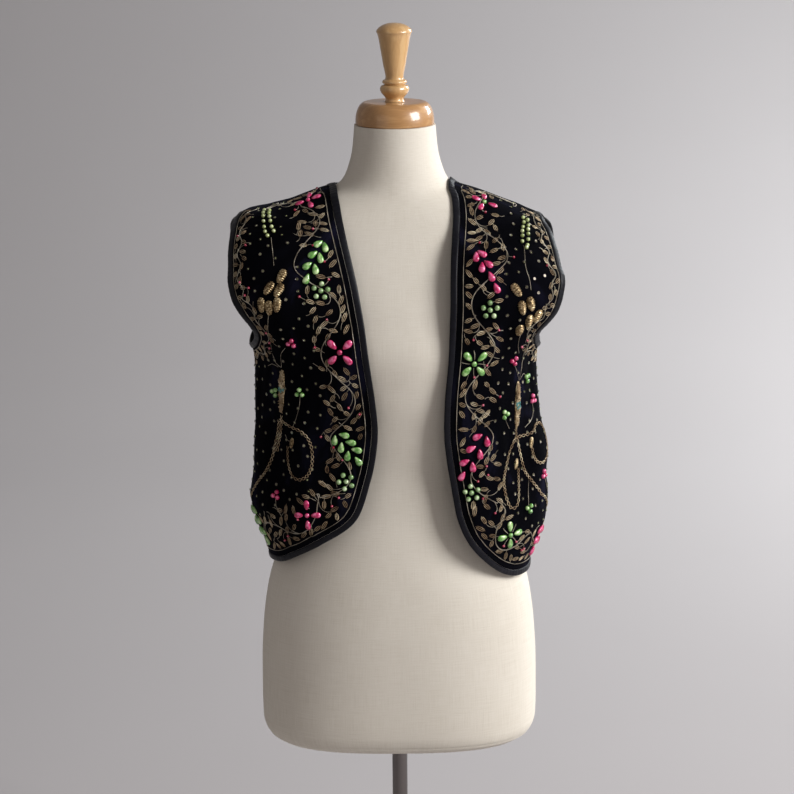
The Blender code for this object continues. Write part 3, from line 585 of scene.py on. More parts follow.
def wall(cut, side):
    """Closed cloth wall on a flat patch: outer and inner grids half a wall from the middle, joined by a
    rim."""
    rows, columns = cut.shape[:2]
    middle, _, _, out, _ = stance(cut, side)
    points = np.concatenate([middle + out * WALL / 2, middle - out * WALL / 2]).reshape(-1, 3)
    number = np.arange(rows * columns).reshape(rows, columns)
    rim = np.concatenate([number[0], number[1:, -1], number[-1, -2::-1], number[-2:0:-1, 0]])
    after = np.roll(rim, -1)
    count = rows * columns
    skin = quads(rows, columns)
    edge = np.stack([rim, after, after + count, rim + count], -1)
    return points, [skin, skin[:, ::-1] + count, edge], np.concatenate([cut.reshape(-1, 2)] * 2)


velvet, shader, shade = material("black_velvet", {"Roughness": 0.90, "Specular IOR Level": 0.03,
                                                  "Sheen Weight": 0.05, "Sheen Roughness": 0.30,
                                                  "Sheen Tint": dye(120, 124, 158)})
flat = shade.flat()
brushed = flat.stretched(26.0, 9.0, 1.0)
nap_and_sheen = brushed.noise(1.0, 4.0, 0.8)
pile = flat.noise(1900.0, 2.0)
# The nap's paler, bluer patches in the colour stand for the sheen of crushed pile: painted sheen; the same
# noise also bumps the pile.
nap_and_sheen.colours(shader, (0.30, dye(2, 2, 4)), (0.55, dye(5, 5, 10)), (0.78, dye(24, 24, 42)))
lie = nap_and_sheen * 3.0 + pile * 0.6
lie.bump(shader, 0.30, 0.0008)

PANEL_COLUMNS, PANEL_ROWS = 96, 190
EDGE_POINTS, HOLE_POINTS, DENSE_POINTS = 420, 260, 1000
SHOULDER_LAP = 5           # points by which an armhole's two halves run past the shoulder tip
ARMPIT_ROW, ARMPIT_FRONT = 0.60, 0.40      # share up the side and up the front edge that one row joins
back_holes = {}
edges, holes, velvet_fronts = {}, {}, {}
for name, side in SIDES.items():
    edges[name] = even(flow(to_cut(FRONT_EDGE[name])), EDGE_POINTS)
    holes[name] = even(flow(to_cut(ARMHOLE[name]), closed=True), HOLE_POINTS, closed=True)
    rim_line = within(shifted(edges[name], EDGE_INSET, side), -1, SEAM - SEAM_GAP)
    loop = shifted(holes[name], EDGE_INSET, side, closed=True)
    top = int(np.argmax(loop[:, 1]))
    rising, falling = loop[:top + SHOULDER_LAP + 1], np.concatenate([loop[top - SHOULDER_LAP:], loop[:3]])
    front_hole = within(rising, -1, SEAM - SEAM_GAP)
    front_hole[0, 0] = SEAM - SEAM_GAP
    back_holes[name] = within(falling, SEAM + SEAM_GAP, 2 * HALF_TURN)
    back_holes[name][-1, 0] = SEAM + SEAM_GAP
    rim_line[0, 0] = SEAM - SEAM_GAP
    corner = int(np.argmin(np.linalg.norm(rim_line - to_cut(HEM_CORNER[name]), axis=1)))
    front_line = rim_line[corner::-1]
    share = np.interp(np.linspace(0, 1, PANEL_ROWS), [0, ARMPIT_ROW, 1], [0, ARMPIT_FRONT, 1])
    dense, even_share = even(front_line, DENSE_POINTS), np.linspace(0, 1, DENSE_POINTS)
    left_edge = np.stack([np.interp(share, even_share, dense[:, k]) for k in (0, 1)], -1)
    up_side = int(round(ARMPIT_ROW * PANEL_ROWS))
    side_line = even(np.stack([rim_line[-1], front_hole[0]]), up_side)
    right_edge = np.concatenate([side_line, even(front_hole, PANEL_ROWS - up_side + 1)[1:]])
    patch = coons(left_edge, right_edge, even(rim_line[corner:], PANEL_COLUMNS),
                  even(np.stack([front_line[-1], front_hole[-1]]), PANEL_COLUMNS))
    points, faces, uv = wall(patch, side)
    front = build("velvet_front_" + name, points, faces, uv, sharp=70)
    velvet_fronts[name] = fasten(front, velvet, "velvet", "front_" + name)


def across_back(points):
    """Right-side curve laid at the far end of the back's flat cut."""
    return np.stack([2 * HALF_TURN - points[:, 0], points[:, 1]], -1)


BACK_COLUMNS, BACK_ROWS = 170, 170
BACK_POINTS = 200
BACK_LOW, BACK_HIGH = SEAM + SEAM_GAP, 2 * HALF_TURN - SEAM - SEAM_GAP
hem_edge = even(flow(to_cut(BACK_HEM)), BACK_POINTS)
neck_edge = even(flow(to_cut(BACK_NECK))[::-1], BACK_POINTS)
hem = within(shifted(hem_edge, EDGE_INSET, 1), BACK_LOW, BACK_HIGH)
neck = within(shifted(neck_edge, EDGE_INSET, 1), BACK_LOW, BACK_HIGH)[::-1]
up_left = np.concatenate([hem[:1], back_holes["left"][::-1], neck[:1]])
up_right = np.concatenate([hem[-1:], across_back(back_holes["right"])[::-1], neck[-1:]])
patch = coons(even(up_left, BACK_ROWS), even(up_right, BACK_ROWS), even(hem, BACK_COLUMNS),
              even(neck, BACK_COLUMNS))
points, faces, uv = wall(patch, 1)
velvet_back = fasten(build("velvet_back", points, faces, uv, sharp=70), velvet, "velvet", "back")


# Bindings: black satin bias strips folded over every free edge of the vest and stitched in the ditch.
# Each is a soft flattened roll along its edge, a little puckered by its stitches.
BINDING_THICK = 0.0030
BINDING_LIFT = 0.0004
BINDING_SECTION = 16
PUCKER = 0.00016
PUCKER_PITCH = 0.0062
TWILL_PITCH = 0.0006
TURN_OVER = 1.004          # a closed binding's whole turn over its run up to the last ring


def strip(edge, side, low, high, closed=False):
    """Binding: a flattened round section between the finished edge and the binding's width, its rise
    rippled along the run; the ends are closed flat unless it meets itself."""
    turn = np.linspace(0, 2 * pi, BINDING_SECTION, endpoint=False)
    share = 0.5 - 0.5 * np.sign(np.cos(turn)) * np.abs(np.cos(turn)) ** 0.7
    rise = BINDING_THICK / 2 * np.sign(np.sin(turn)) * np.abs(np.sin(turn)) ** 0.75
    spine = cloth(edge, side)
    run = paced(spine)
    ripple = 1 + PUCKER / BINDING_THICK * 2 * (np.sin(2 * pi * run / PUCKER_PITCH + 2.0 * np.sin(run * 37))
                                               + 0.6 * np.sin(2 * pi * run / (PUCKER_PITCH * 2.7)))
    lines = []
    for part, lift in zip(share, rise):
        line = shifted(edge, part * BINDING_WIDTH, side, closed)
        line[:, 0] = np.clip(line[:, 0], low, high)
        middle, _, _, out, _ = stance(line, side)
        lines.append(middle + out * (BINDING_LIFT + lift * ripple)[:, None])
    rings = np.stack(lines, 1)
    uv = np.stack([run[:, None] + 0 * turn, share * BINDING_WIDTH + 0 * run[:, None]], -1).reshape(-1, 2)
    if not closed:
        points, faces = capped(rings)
        return points, faces, np.concatenate([uv, uv[:1], uv[-1:]]), None
    count = len(rings)
    grid = quads(count, BINDING_SECTION, True)
    here = np.arange(BINDING_SECTION)
    after = (here + 1) % BINDING_SECTION
    last = (count - 1) * BINDING_SECTION
    closing = np.stack([last + here, last + after, after, here], -1)
    return rings.reshape(-1, 3), [grid, closing], uv, run[-1] * TURN_OVER


satin, shader, shade = material("black_satin", {"Specular IOR Level": 0.20, "Sheen Weight": 0.02,
                                                "Sheen Roughness": 0.4})
flat = shade.flat()
along, across = flat.parts()
twill = ((along + across) * (2 * pi / TWILL_PITCH)).sine()
drawn = flat.stretched(420.0, 90.0, 1.0)
pull = drawn.noise(1.0, 3.0)
pull.colours(shader, (0.3, dye(8, 8, 14)), (0.7, dye(17, 17, 25)))
(pull * 0.20 + 0.34).into(shader, "Roughness")
(pull + twill * 0.05).bump(shader, 0.25, 0.0003)


def bind(name, edge, side, low, high, node, rests, closed=False):
    """Set one binding in place."""
    points, faces, uv, turn = strip(edge, side, low, high, closed)
    piece = fasten(build(name, points, faces, uv, turn, sharp=60), satin, "satin", node)
    length = float(paced(cloth(edge, side))[-1])


for name, side in SIDES.items():
    bind("satin_front_" + name, edges[name], side, -1, SEAM - SEAM_GAP, "binding_front_" + name,
         "velvet_front_" + name)
    bind("satin_armhole_" + name, holes[name], side, -1, HALF_TURN, "binding_armhole_" + name,
         "velvet_front_" + name, closed=True)
bind("satin_back_hem", hem_edge, 1, BACK_LOW, BACK_HIGH, "binding_back_hem", "velvet_back")
bind("satin_back_neck", neck_edge, 1, BACK_LOW, BACK_HIGH, "binding_back_neck", "velvet_back")


# Large beads: half-round drops and round beads of pearl-lacquered plastic, sewn to the fronts as flowers,
# sprays and clusters in pink, green and sage. Each sits flat on the velvet.
# length, width, rise
TEARDROP = (0.0140, 0.0078, 0.0040)
PETAL = (0.0150, 0.0084, 0.0040)
ROUND_BEAD = (0.0068, 0.0068, 0.0046)
FLOWER_EYE = (0.0072, 0.0072, 0.0044)
PETAL_REACH = 0.0132       # from a flower's eye to the middle of a petal
SPRAY_STALK = 0.0018       # from a spray's line to the tip of each drop of a pair
CLUSTER_RING = 0.0088      # from a cluster's middle bead to the five round it
CLUSTER_COUNT = 5
PETAL_COUNT = 4
BEAD_TOP, BEAD_FOOT = 12, 118        # degrees down from the top at a bead's first and last circle
BEAD_TAPER = 0.46
# radii kept clear of leaves and sequins: a flower, a spray's single drop, its pair, a cluster
FLOWER_CLEAR, SINGLE_CLEAR, PAIR_CLEAR, CLUSTER_CLEAR = 0.0190, 0.0070, 0.0105, 0.0120
# degrees round, height, degrees turned, share of the full size, petal colour, eye colour
FLOWERS = {
    "right": [(75, 1.1320, 45, 0.85, "pink", "pink"), (30.5, 0.9603, 45, 1.0, "pink", "pink"),
              (52, 0.7396, -9, 0.85, "pink", "pink")],
    "left": [(73, 1.1290, 45, 0.85, "pink", "green"), (40.9, 0.9444, 42, 1.0, "green", "green"),
             (61.1, 0.7034, 1, 0.95, "green", "green")]}
# degrees round and height of the end drop, degrees turned, pairs, single drops at the end, degrees that a
# pair's drops turn off the line, step along the line, colour
SPRAYS = {
    "right": [(49.4, 1.0428, 21, 3, 1, 32, 0.0154, "green"), (25.6, 0.8230, -33, 3, 1, 44, 0.0126, "green"),
              (76.5, 0.6860, -20, 3, 1, 30, 0.0146, "green")],
    "left": [(51.8, 1.0312, 24, 2, 2, 27, 0.0158, "pink"), (40.2, 0.8000, -28, 3, 1, 36, 0.0156, "pink"),
             (77.8, 0.6690, -16, 2, 1, 30, 0.0164, "pink")]}
# degrees round, height, degrees turned
CLUSTERS = {
    "right": [(42.4, 1.0299, 4), (33.7, 0.7920, -22)],
    "left": [(47.5, 1.0083, 0), (44.8, 0.7723, 6)]}


def bead(rings, sides, pointed):
    """Half-round bead of unit size: circles from the top down past the widest line, narrowed towards the
    tip by the pointed share, on a flat foot."""
    down = np.radians(np.linspace(BEAD_TOP, BEAD_FOOT, rings))[:, None]
    around = np.linspace(0, 2 * pi, sides, endpoint=False)[None]
    along = 0.5 * np.sin(down) * np.cos(around)
    across = 0.5 * np.sin(down) * np.sin(around) * (1 - BEAD_TAPER * pointed * np.cos(around))
    floor = np.cos(radians(BEAD_FOOT))
    rise = (np.cos(down) - floor) / (1 - floor) + 0 * around
    return capped(np.stack([across, along, rise], -1))


def strewn(template, cuts, turns, sizes, side, sink=0.0002):
    """Copies of one small shape on the velvet's outer face: sized, turned in the cloth's plane, stood on
    it."""
    shape, faces = template
    cuts, turns, sizes = np.asarray(cuts, float), np.asarray(turns, float), np.asarray(sizes, float)
    spot, round_way, up_way, out, _ = stance(cuts, side)
    local = shape[None] * sizes[:, None]
    c, s = np.cos(turns)[:, None], np.sin(turns)[:, None]
    across = (local[..., 0] * c - local[..., 1] * s)[..., None]
    along = (local[..., 0] * s + local[..., 1] * c)[..., None]
    rise = (local[..., 2] + WALL / 2 - sink)[..., None]
    points = spot[:, None] + across * round_way[:, None] + along * up_way[:, None] + rise * out[:, None]
    shift = (np.arange(len(cuts)) * len(shape))[:, None, None]
    return points.reshape(-1, 3), [(block[None] + shift).reshape(-1, block.shape[1]) for block in faces]


def sew_on(name, template, copies, side, finish, slot, sharp=60, sink=0.0002):
    """Copies of one small shape, each with its place, turn and size, sewn to a front as one piece."""
    points, faces = strewn(template, *zip(*copies), side, sink)
    fasten(build(name, points, faces, sharp=sharp), finish, slot)


def joined(parts):
    """Several sets of points and faces as one."""
    points, faces, base = [], [], 0
    for part in parts:
        points.append(part[0])
        faces += [block + base for block in part[1]]
        base += len(part[0])
    return np.concatenate(points), faces


def lay(foot, local, turn, side):
    """Flat cut places of true lengths across and up the cloth from a foot, turned anticlockwise in the cut;
    the slant of the cut's upward way against its round way is taken out."""
    foot, local = np.asarray(foot, float), np.asarray(local, float)
    foot = foot.reshape(*foot.shape[:-1], *[1] * (local.ndim - foot.ndim), 2)
    c, s = np.cos(turn), np.sin(turn)
    across, along = local[..., 0] * c - local[..., 1] * s, local[..., 0] * s + local[..., 1] * c
    _, round_way, up_way, _, scale = stance(foot, side)
    step = np.array([0, SLOPE_STEP])
    rising = (cloth(foot + step, side) - cloth(foot - step, side)) / (2 * SLOPE_STEP)
    up = along / (rising * up_way).sum(-1)
    return foot + np.stack([(across - (rising * round_way).sum(-1) * up) / scale[..., 0], up], -1)


def pearl(name, deep, main, pale):
    """Pearl-lacquered plastic: streaks of a paler and a deeper tone under a hard glossy coat; painted sheen
    where the bead faces the viewer, painted shade at its rim.
    """
    made, shader, shade = material(name, {"Roughness": 0.20, "Coat Weight": 0.9, "Coat Roughness": 0.06,
                                          "Specular IOR Level": 0.6})
    place = shade.place()
    streak = place.noise(170.0, 3.0)
    facing_sheen_and_rim_shade = shade.node("ShaderNodeLayerWeight", {}, {"Blend": 0.35}, output=1)
    # Facing adds painted sheen where the bead faces the viewer and painted shade towards its rim.
    tone = streak * 1.3 + facing_sheen_and_rim_shade * -0.45 + 0.02
    tone.colours(shader, (0.2, deep), (0.55, main), (0.85, pale))
    return made


PEARL = {"pink": pearl("pink_pearl", dye(104, 6, 44), dye(200, 28, 94), dye(240, 120, 166)),
         "green": pearl("green_pearl", dye(40, 80, 26), dye(108, 166, 76), dye(206, 228, 168)),
         "sage": pearl("sage_pearl", dye(56, 82, 42), dye(130, 166, 102), dye(216, 228, 188))}
DROP_TEMPLATE = bead(9, 18, 1)
PETAL_TEMPLATE = bead(9, 18, -0.6)
ROUND_TEMPLATE = bead(8, 14, 0)
taken = {"right": [], "left": []}          # places and clear radii of the beads


def sized(size, share=1.0):
    """Width, length and rise in the order that a bead's points have them, times a share."""
    return (share * size[1], share * size[0], share * size[2])


for name, side in SIDES.items():
    sown = {(colour, kind): [] for colour in PEARL for kind in ("drop", "petal", "round")}
    for around, height, turned_by, share, colour, eye in FLOWERS[name]:
        foot = to_cut((around, height))
        sown[eye, "round"].append((foot, 0.0, sized(FLOWER_EYE, share)))
        taken[name].append((foot, FLOWER_CLEAR * share))
        for k in range(PETAL_COUNT):
            lean = radians(turned_by + 360 * k / PETAL_COUNT)
            spot = lay(foot, (0, PETAL_REACH * share), lean, side)
            sown[colour, "petal"].append((spot, lean, sized(PETAL, share)))
    for around, height, turned_by, pairs, singles, splay, step, colour in SPRAYS[name]:
        foot, lean, splay = to_cut((around, height)), radians(turned_by), radians(splay)
        half = 0.5 * TEARDROP[0] * np.sin(splay) + SPRAY_STALK
        for k in range(singles + pairs):
            clear = SINGLE_CLEAR if k < singles else PAIR_CLEAR
            taken[name].append((lay(foot, (0, step * k), lean, side), clear))
            for hand in (0,) if k < singles else (-1, 1):
                spot = lay(foot, (hand * half, step * k), lean, side)
                sown[colour, "drop"].append((spot, lean + hand * splay, sized(TEARDROP)))
    for around, height, turned_by in CLUSTERS[name]:
        foot = to_cut((around, height))
        taken[name].append((foot, CLUSTER_CLEAR))
        sown["sage", "round"].append((foot, 0.0, sized(ROUND_BEAD)))
        for k in range(CLUSTER_COUNT):
            spot = lay(foot, (0, CLUSTER_RING), radians(turned_by + 360 * k / CLUSTER_COUNT), side)
            sown["sage", "round"].append((spot, 0.0, sized(ROUND_BEAD)))
    templates = {"drop": DROP_TEMPLATE, "petal": PETAL_TEMPLATE, "round": ROUND_TEMPLATE}
    for colour, finish in PEARL.items():
        parts = [strewn(templates[kind], *zip(*sown[colour, kind]), side) for kind in templates
                 if sown[colour, kind]]
        fasten(build(f"{colour}_beads_{name}", *joined(parts), sharp=60), finish, "pearl")


# Small pearls: round beads in threes over the open field of each front, and below the shoulder a ladder of
# two rails of six olive pearls with one more at its foot.
SPRIG_BEAD = (0.0062, 0.0062, 0.0044)
SPRIG_REACH = 0.0042
SPRIG_COUNT = 3
SPRIG_CLEAR, LADDER_CLEAR = 0.0090, 0.0055
LADDER_BEAD = (0.0052, 0.0052, 0.0040)
LADDER_ROWS = 6
# degrees round, height, turn, colour
SPRIGS = {
    "right": [(52.5, 0.9700, 20, "pink"), (51.7, 0.9097, 0, "green"), (66.4, 0.9047, 40, "green"),
              (67.7, 0.7565, 10, "pink")],
    "left": [(61.3, 0.9433, 85, "pink"), (71.8, 0.9170, 60, "green"), (76.5, 0.8885, 0, "pink"),
             (58.2, 0.8805, 30, "green"), (79.6, 0.7715, 0, "pink"), (70.5, 0.7288, 70, "green")]}
# degrees and height at the head, middle and foot of each rail, and of the end bead
LADDERS = {"right": [((82.3, 1.1126), (75.2, 1.1025), (71.4, 1.0919)),
                     ((80.6, 1.1144), (73.3, 1.1034), (69.1, 1.0934))],
           "left": [((77.3, 1.1071), (72.4, 1.0945), (68.6, 1.0815)),
                    ((77.6, 1.1038), (73.2, 1.0907), (69.3, 1.0775))]}
LADDER_END = {"right": (69.6, 1.0879), "left": (68.4, 1.0752)}
olive = pearl("olive_pearl", dye(70, 80, 36), dye(160, 172, 104), dye(220, 226, 178))
for name, side in SIDES.items():
    sown = {"pink": [], "green": []}
    for around, height, turned_by, colour in SPRIGS[name]:
        foot = to_cut((around, height))
        taken[name].append((foot, SPRIG_CLEAR))
        for k in range(SPRIG_COUNT):
            spot = lay(foot, (0, SPRIG_REACH), radians(turned_by + 360 * k / SPRIG_COUNT), side)
            sown[colour].append((spot, 0.0, sized(SPRIG_BEAD)))
    for colour, beads in sown.items():
        sew_on(f"{colour}_sprigs_{name}", ROUND_TEMPLATE, beads, side, PEARL[colour], "pearl")
    rails = np.concatenate([even(flow(to_cut(rail)), LADDER_ROWS) for rail in LADDERS[name]]
                           + [to_cut([LADDER_END[name]])])
    taken[name] += [(spot, LADDER_CLEAR) for spot in rails]
    beads = [(spot, 0.0, sized(LADDER_BEAD)) for spot in rails]
    sew_on(f"olive_ladder_{name}", ROUND_TEMPLATE, beads, side, olive, "pearl")


# Gold thread work on the fronts: a couched line inside the front and armhole bindings, a wavy vine with
# curled branches, and small leaves of three strands. The thread is a fine coil of antique gold wire.
COUCH_INSET = 0.0152       # couched line, from the finished front edge
ARMHOLE_INSET = 0.0112     # and from the finished armhole
THREAD = 0.00042           # radius
STRAND = 0.00044
VINE = 0.00058
STEM_SHARE = 0.85          # a branch's radius over the thread's
THREAD_SIT, THREAD_TIP = 0.75, 0.45  # height of a thread's middle and radius of its ends, over its radius
COUCH_POINTS = {"front": 700, "armhole": 260}
# border sizes: vine's middle from the edge, swing, wave, narrowest and widest place of a leaf, leaf length
FRONT_BORDER = (0.0390, 0.0150, 0.1170, 0.0200, 0.0640, 0.0124)
HOLE_BORDER = (0.0205, 0.0034, 0.0300, 0.0140, 0.0290, 0.0092)
# shares of the border's width on which leaves are tried
LEAF_LINES = (0.03, 0.19, 0.35, 0.51, 0.67, 0.83, 0.99)
LEAF_STEP = 0.0074
LEAF_CLEAR = 0.0097
STALK_OVER = 0.0025         # how far a stalk may reach out of the border
# a strand's place across the leaf, where it starts and stops along it
LEAF_STRANDS = np.array([(-0.0021, 0.10, 0.88), (0.0, 0.0, 1.0), (0.0021, 0.12, 0.90)])
BRANCH_STEP = 0.0185
BRANCH_LENGTH = (0.017, 0.027)
BRANCH_CURL = (70, 150)
BRANCH_LEAN = 18           # degrees off the vine where a branch leaves it
BRANCH_CLEAR = 0.004
BRANCH_LEAF = (0.85, 1.15)           # a leaf's length at a branch's end, over the border's own
SEED_EVERY = 3             # each third branch ends in a seed bead
SEED_CHANCE = 0.10         # share of the stalks that do
LEAF_SHAKE = 0.003
LEAF_TURN = (15, 75)
LEAF_LENGTH = (0.8, 1.15)
STALK_LEAN, STALK_CURL = 25, 80
STALK_LENGTH = (0.4, 0.75)
VINE_PHASE = 0.6
VINE_POINT = 0.0016
# how near the side seam the couched line, the vine and a leaf's middle may come
COUCH_SEAM, VINE_SEAM, LEAF_SEAM = 0.002, 0.004, 0.007
# share of the clear distance that holds from a bead, a branch, a seed bead, and for a branch's leaf
BEAD_SHARE, BRANCH_SHARE, SEED_SHARE, TIP_SHARE = 0.35, 0.45, 0.6, 0.8


def thread(paths, side, radius, lift=None, around=6):
    """Round threads along flat cut paths (count, points, 2): a ring stands across the path at each point,
    drawn in at the two ends."""
    paths = np.asarray(paths, float)
    middle, _, _, out, _ = stance(paths, side)
    lift = radius * THREAD_SIT if lift is None else lift
    spine = middle + out * (WALL / 2 + np.broadcast_to(lift, paths.shape[:2]))[..., None]
    ahead = np.gradient(spine, axis=1)
    ahead = ahead / np.linalg.norm(ahead, axis=-1, keepdims=True)
    across = np.cross(ahead, out)
    across = across / np.linalg.norm(across, axis=-1, keepdims=True)
    upward = np.cross(across, ahead)
    thick = np.full(paths.shape[1], radius)
    thick[[0, -1]] *= THREAD_TIP
    turn = np.linspace(0, 2 * pi, around, endpoint=False)
    ring = (np.cos(turn)[:, None] * across[:, :, None] + np.sin(turn)[:, None] * upward[:, :, None])
    points = spine[:, :, None] + thick[None, :, None, None] * ring
    count, length = paths.shape[:2]
    shift = (np.arange(count) * length * around)[:, None, None]
    tube = (quads(length, around, True)[None] + shift).reshape(-1, 4)
    ends = np.stack([np.arange(around), (length - 1) * around + np.arange(around)])
    caps = (ends[None] + shift).reshape(-1, around)
    steps = np.linalg.norm(np.diff(spine, axis=1), axis=-1)
    run = np.concatenate([np.zeros((count, 1)), np.cumsum(steps, 1)], 1)
    uv = np.stack([run[:, :, None] + 0 * turn, turn + 0 * run[:, :, None]], -1)
    return points.reshape(-1, 3), [tube, caps], uv.reshape(-1, 2)


def sewn(name, parts, finish, slot="gold"):
    """Threads with their lengths kept for the coil's pattern, as one piece."""
    points, faces = joined(parts)
    uv = np.concatenate([part[2] for part in parts])
    fasten(build(name, points, faces, uv, sharp=80), finish, slot)


def gold_wire(name, deep, main, pale, pitch, rough):
    """Coiled wire: tight bands along the thread's length, painted darker in the grooves and paler on the
    crests as painted shade, toned unevenly from place to place.
    """
    made, shader, shade = material(name, {"Metallic": 0.65, "Specular IOR Level": 0.6})
    flat = shade.flat()
    place = shade.place()
    along, round_way = flat.parts()
    coil_and_groove_shade = (along * (2 * pi / pitch) + round_way).sine()
    patch = place.noise(75.0, 2.0)
    # The coil in the colour is painted shade: darker in the grooves between turns, paler on their crests.
    tone = patch * 1.3 + coil_and_groove_shade * 0.14 - 0.15
    tone.colours(shader, (0.15, deep), (0.5, main), (0.85, pale))
    (patch * 0.2 + rough).into(shader, "Roughness")
    coil_and_groove_shade.bump(shader, 0.5, 0.0002)
    return made


vine_gold = gold_wire("vine_gold", dye(84, 76, 66), dye(146, 136, 118), dye(214, 206, 188), 0.0007, 0.28)
leaf_gold = gold_wire("leaf_gold", dye(92, 68, 48), dye(176, 150, 116), dye(246, 232, 198), 0.0007, 0.24)
draw = np.random.default_rng(11)


def curl(foot, heading, length, turn, side, count=11):
    """A branch: from its foot along a heading, bending ever more until it has made its whole turn."""
    t = np.linspace(0, 1, count)
    way = heading + turn * t ** 1.4
    step = length / (count - 1)
    local = np.concatenate([[(0, 0)], np.cumsum(step * np.stack([np.cos(way), np.sin(way)], -1), 0)[:-1]])
    return lay(foot, local, 0.0, side), way[-1]


def leaf_paths(feet, headings, lengths, side, count=7):
    """Strands of leaves: side by side along each leaf, bowed out at its middle."""
    t = LEAF_STRANDS[:, 1:2] + (LEAF_STRANDS[:, 2:] - LEAF_STRANDS[:, 1:2]) * np.linspace(0, 1, count)
    bow = 0.35 + 0.65 * np.sin(pi * t)
    across = LEAF_STRANDS[:, :1] * bow
    feet, headings, lengths = np.asarray(feet), np.asarray(headings), np.asarray(lengths)
    along = t[None] * lengths[:, None, None]
    local = np.stack([along, np.broadcast_to(across[None], along.shape)], -1)
    return lay(feet, local, headings[:, None, None], side).reshape(-1, count, 2)


def beside(line, distance, side):
    """Curve moved to its left by a true distance on the cloth, the slant of the cut taken out."""
    solid, round_way, up_way, _, _ = stance(line, side)
    ahead = np.gradient(solid, axis=0)
    ahead = np.stack([(ahead * round_way).sum(-1), (ahead * up_way).sum(-1)], -1)
    ahead = ahead / np.linalg.norm(ahead, axis=1, keepdims=True)
    return lay(line, np.reshape(distance, (-1, 1)) * np.stack([-ahead[:, 1], ahead[:, 0]], -1), 0.0, side)


def border(edge, side, sizes, blocks):
    """A running vine beside an edge: its wave, curled branches, leaves that stay clear of each other and of
    the beads, and places for seed beads at the branches' ends."""
    middle, swing, wave, near, far, leaf = sizes
    edge = edge[edge[:, 0] < SEAM + COUCH_SEAM]
    spine = cloth(edge, side)
    run = paced(spine)
    vine = beside(edge, middle + swing * np.sin(2 * pi * run / wave + VINE_PHASE), side)
    vine = vine[vine[:, 0] < SEAM - VINE_SEAM]
    vine = even(vine, int(run[-1] / VINE_POINT))
    solid, round_way, up_way, _, _ = stance(vine, side)
    pace = paced(solid)
    ahead = np.gradient(solid, axis=0)
    heading = np.arctan2((ahead * up_way).sum(-1), (ahead * round_way).sum(-1))
    blocks = [(cloth(spot, side), clear) for spot, clear in blocks]
    found = []

    def free(spot, clear):
        place = cloth(spot, side)
        reach = np.linalg.norm(spine - place, axis=1).min()
        open_field = near < reach < far and spot[0] < SEAM - LEAF_SEAM
        return (open_field and all(np.linalg.norm(place - b) > r + clear * BEAD_SHARE for b, r in blocks)
                and all(np.linalg.norm(place - b) > clear * share for b, share in found))

    stems, feet, headings, lengths, seeds = [], [], [], [], []
    for k, at in enumerate(np.arange(BRANCH_STEP / 2, pace[-1], BRANCH_STEP * leaf / FRONT_BORDER[5])):
        i = int(np.searchsorted(pace, at))
        hand = 1 if k % 2 else -1
        long = draw.uniform(*BRANCH_LENGTH) * leaf / FRONT_BORDER[5]
        bend = hand * radians(draw.uniform(*BRANCH_CURL))
        path, last = curl(vine[i], heading[i] + hand * radians(BRANCH_LEAN), long, bend, side)
        if not free(path[-1], BRANCH_CLEAR):
            continue
        stems.append(path)
        found.append((cloth(path[6], side), BRANCH_SHARE))
        if k % SEED_EVERY == SEED_EVERY - 1:
            seeds.append(path[-1])
            found.append((cloth(path[-1], side), SEED_SHARE))
            continue
        tip = lay(path[-1], (leaf / 2 * np.cos(last), leaf / 2 * np.sin(last)), 0.0, side)
        if free(tip, LEAF_CLEAR * TIP_SHARE):
            feet.append(path[-1])
            headings.append(last)
            lengths.append(leaf * draw.uniform(*BRANCH_LEAF))
            found.append((cloth(tip, side), 1.0))
    for row, share in enumerate(LEAF_LINES):
        line = beside(edge, near + (far - near) * share, side)
        for at in np.arange(LEAF_STEP * (0.3 + 0.5 * (row % 2)), run[-1], LEAF_STEP):
            i = int(np.searchsorted(run, at + draw.uniform(-LEAF_SHAKE, LEAF_SHAKE)))
            i = min(max(i, 1), len(line) - 2)
            along = (line[i + 1] - line[i - 1]) * stance(line[i], side)[4]
            way = np.arctan2(along[1], along[0]) + radians(draw.uniform(*LEAF_TURN)) * draw.choice((-1, 1))
            way = way + pi * draw.integers(0, 2)
            long = leaf * draw.uniform(*LEAF_LENGTH)
            if not free(line[i], LEAF_CLEAR):
                continue
            foot = lay(line[i], (-long / 2 * np.cos(way), -long / 2 * np.sin(way)), 0.0, side)
            found.append((cloth(line[i], side), 1.0))
            feet.append(foot)
            headings.append(way)
            lengths.append(long)
            stalk, _ = curl(foot, way + pi + radians(draw.uniform(-STALK_LEAN, STALK_LEAN)),
                            long * draw.uniform(*STALK_LENGTH),
                            radians(draw.uniform(-STALK_CURL, STALK_CURL)), side)
            if np.linalg.norm(spine - cloth(stalk[-1], side), axis=1).min() < near - STALK_OVER:
                continue
            stems.append(stalk)
            if draw.uniform() < SEED_CHANCE:
                seeds.append(stalk[-1])
    return vine, np.array(stems), leaf_paths(feet, headings, lengths, side), seeds


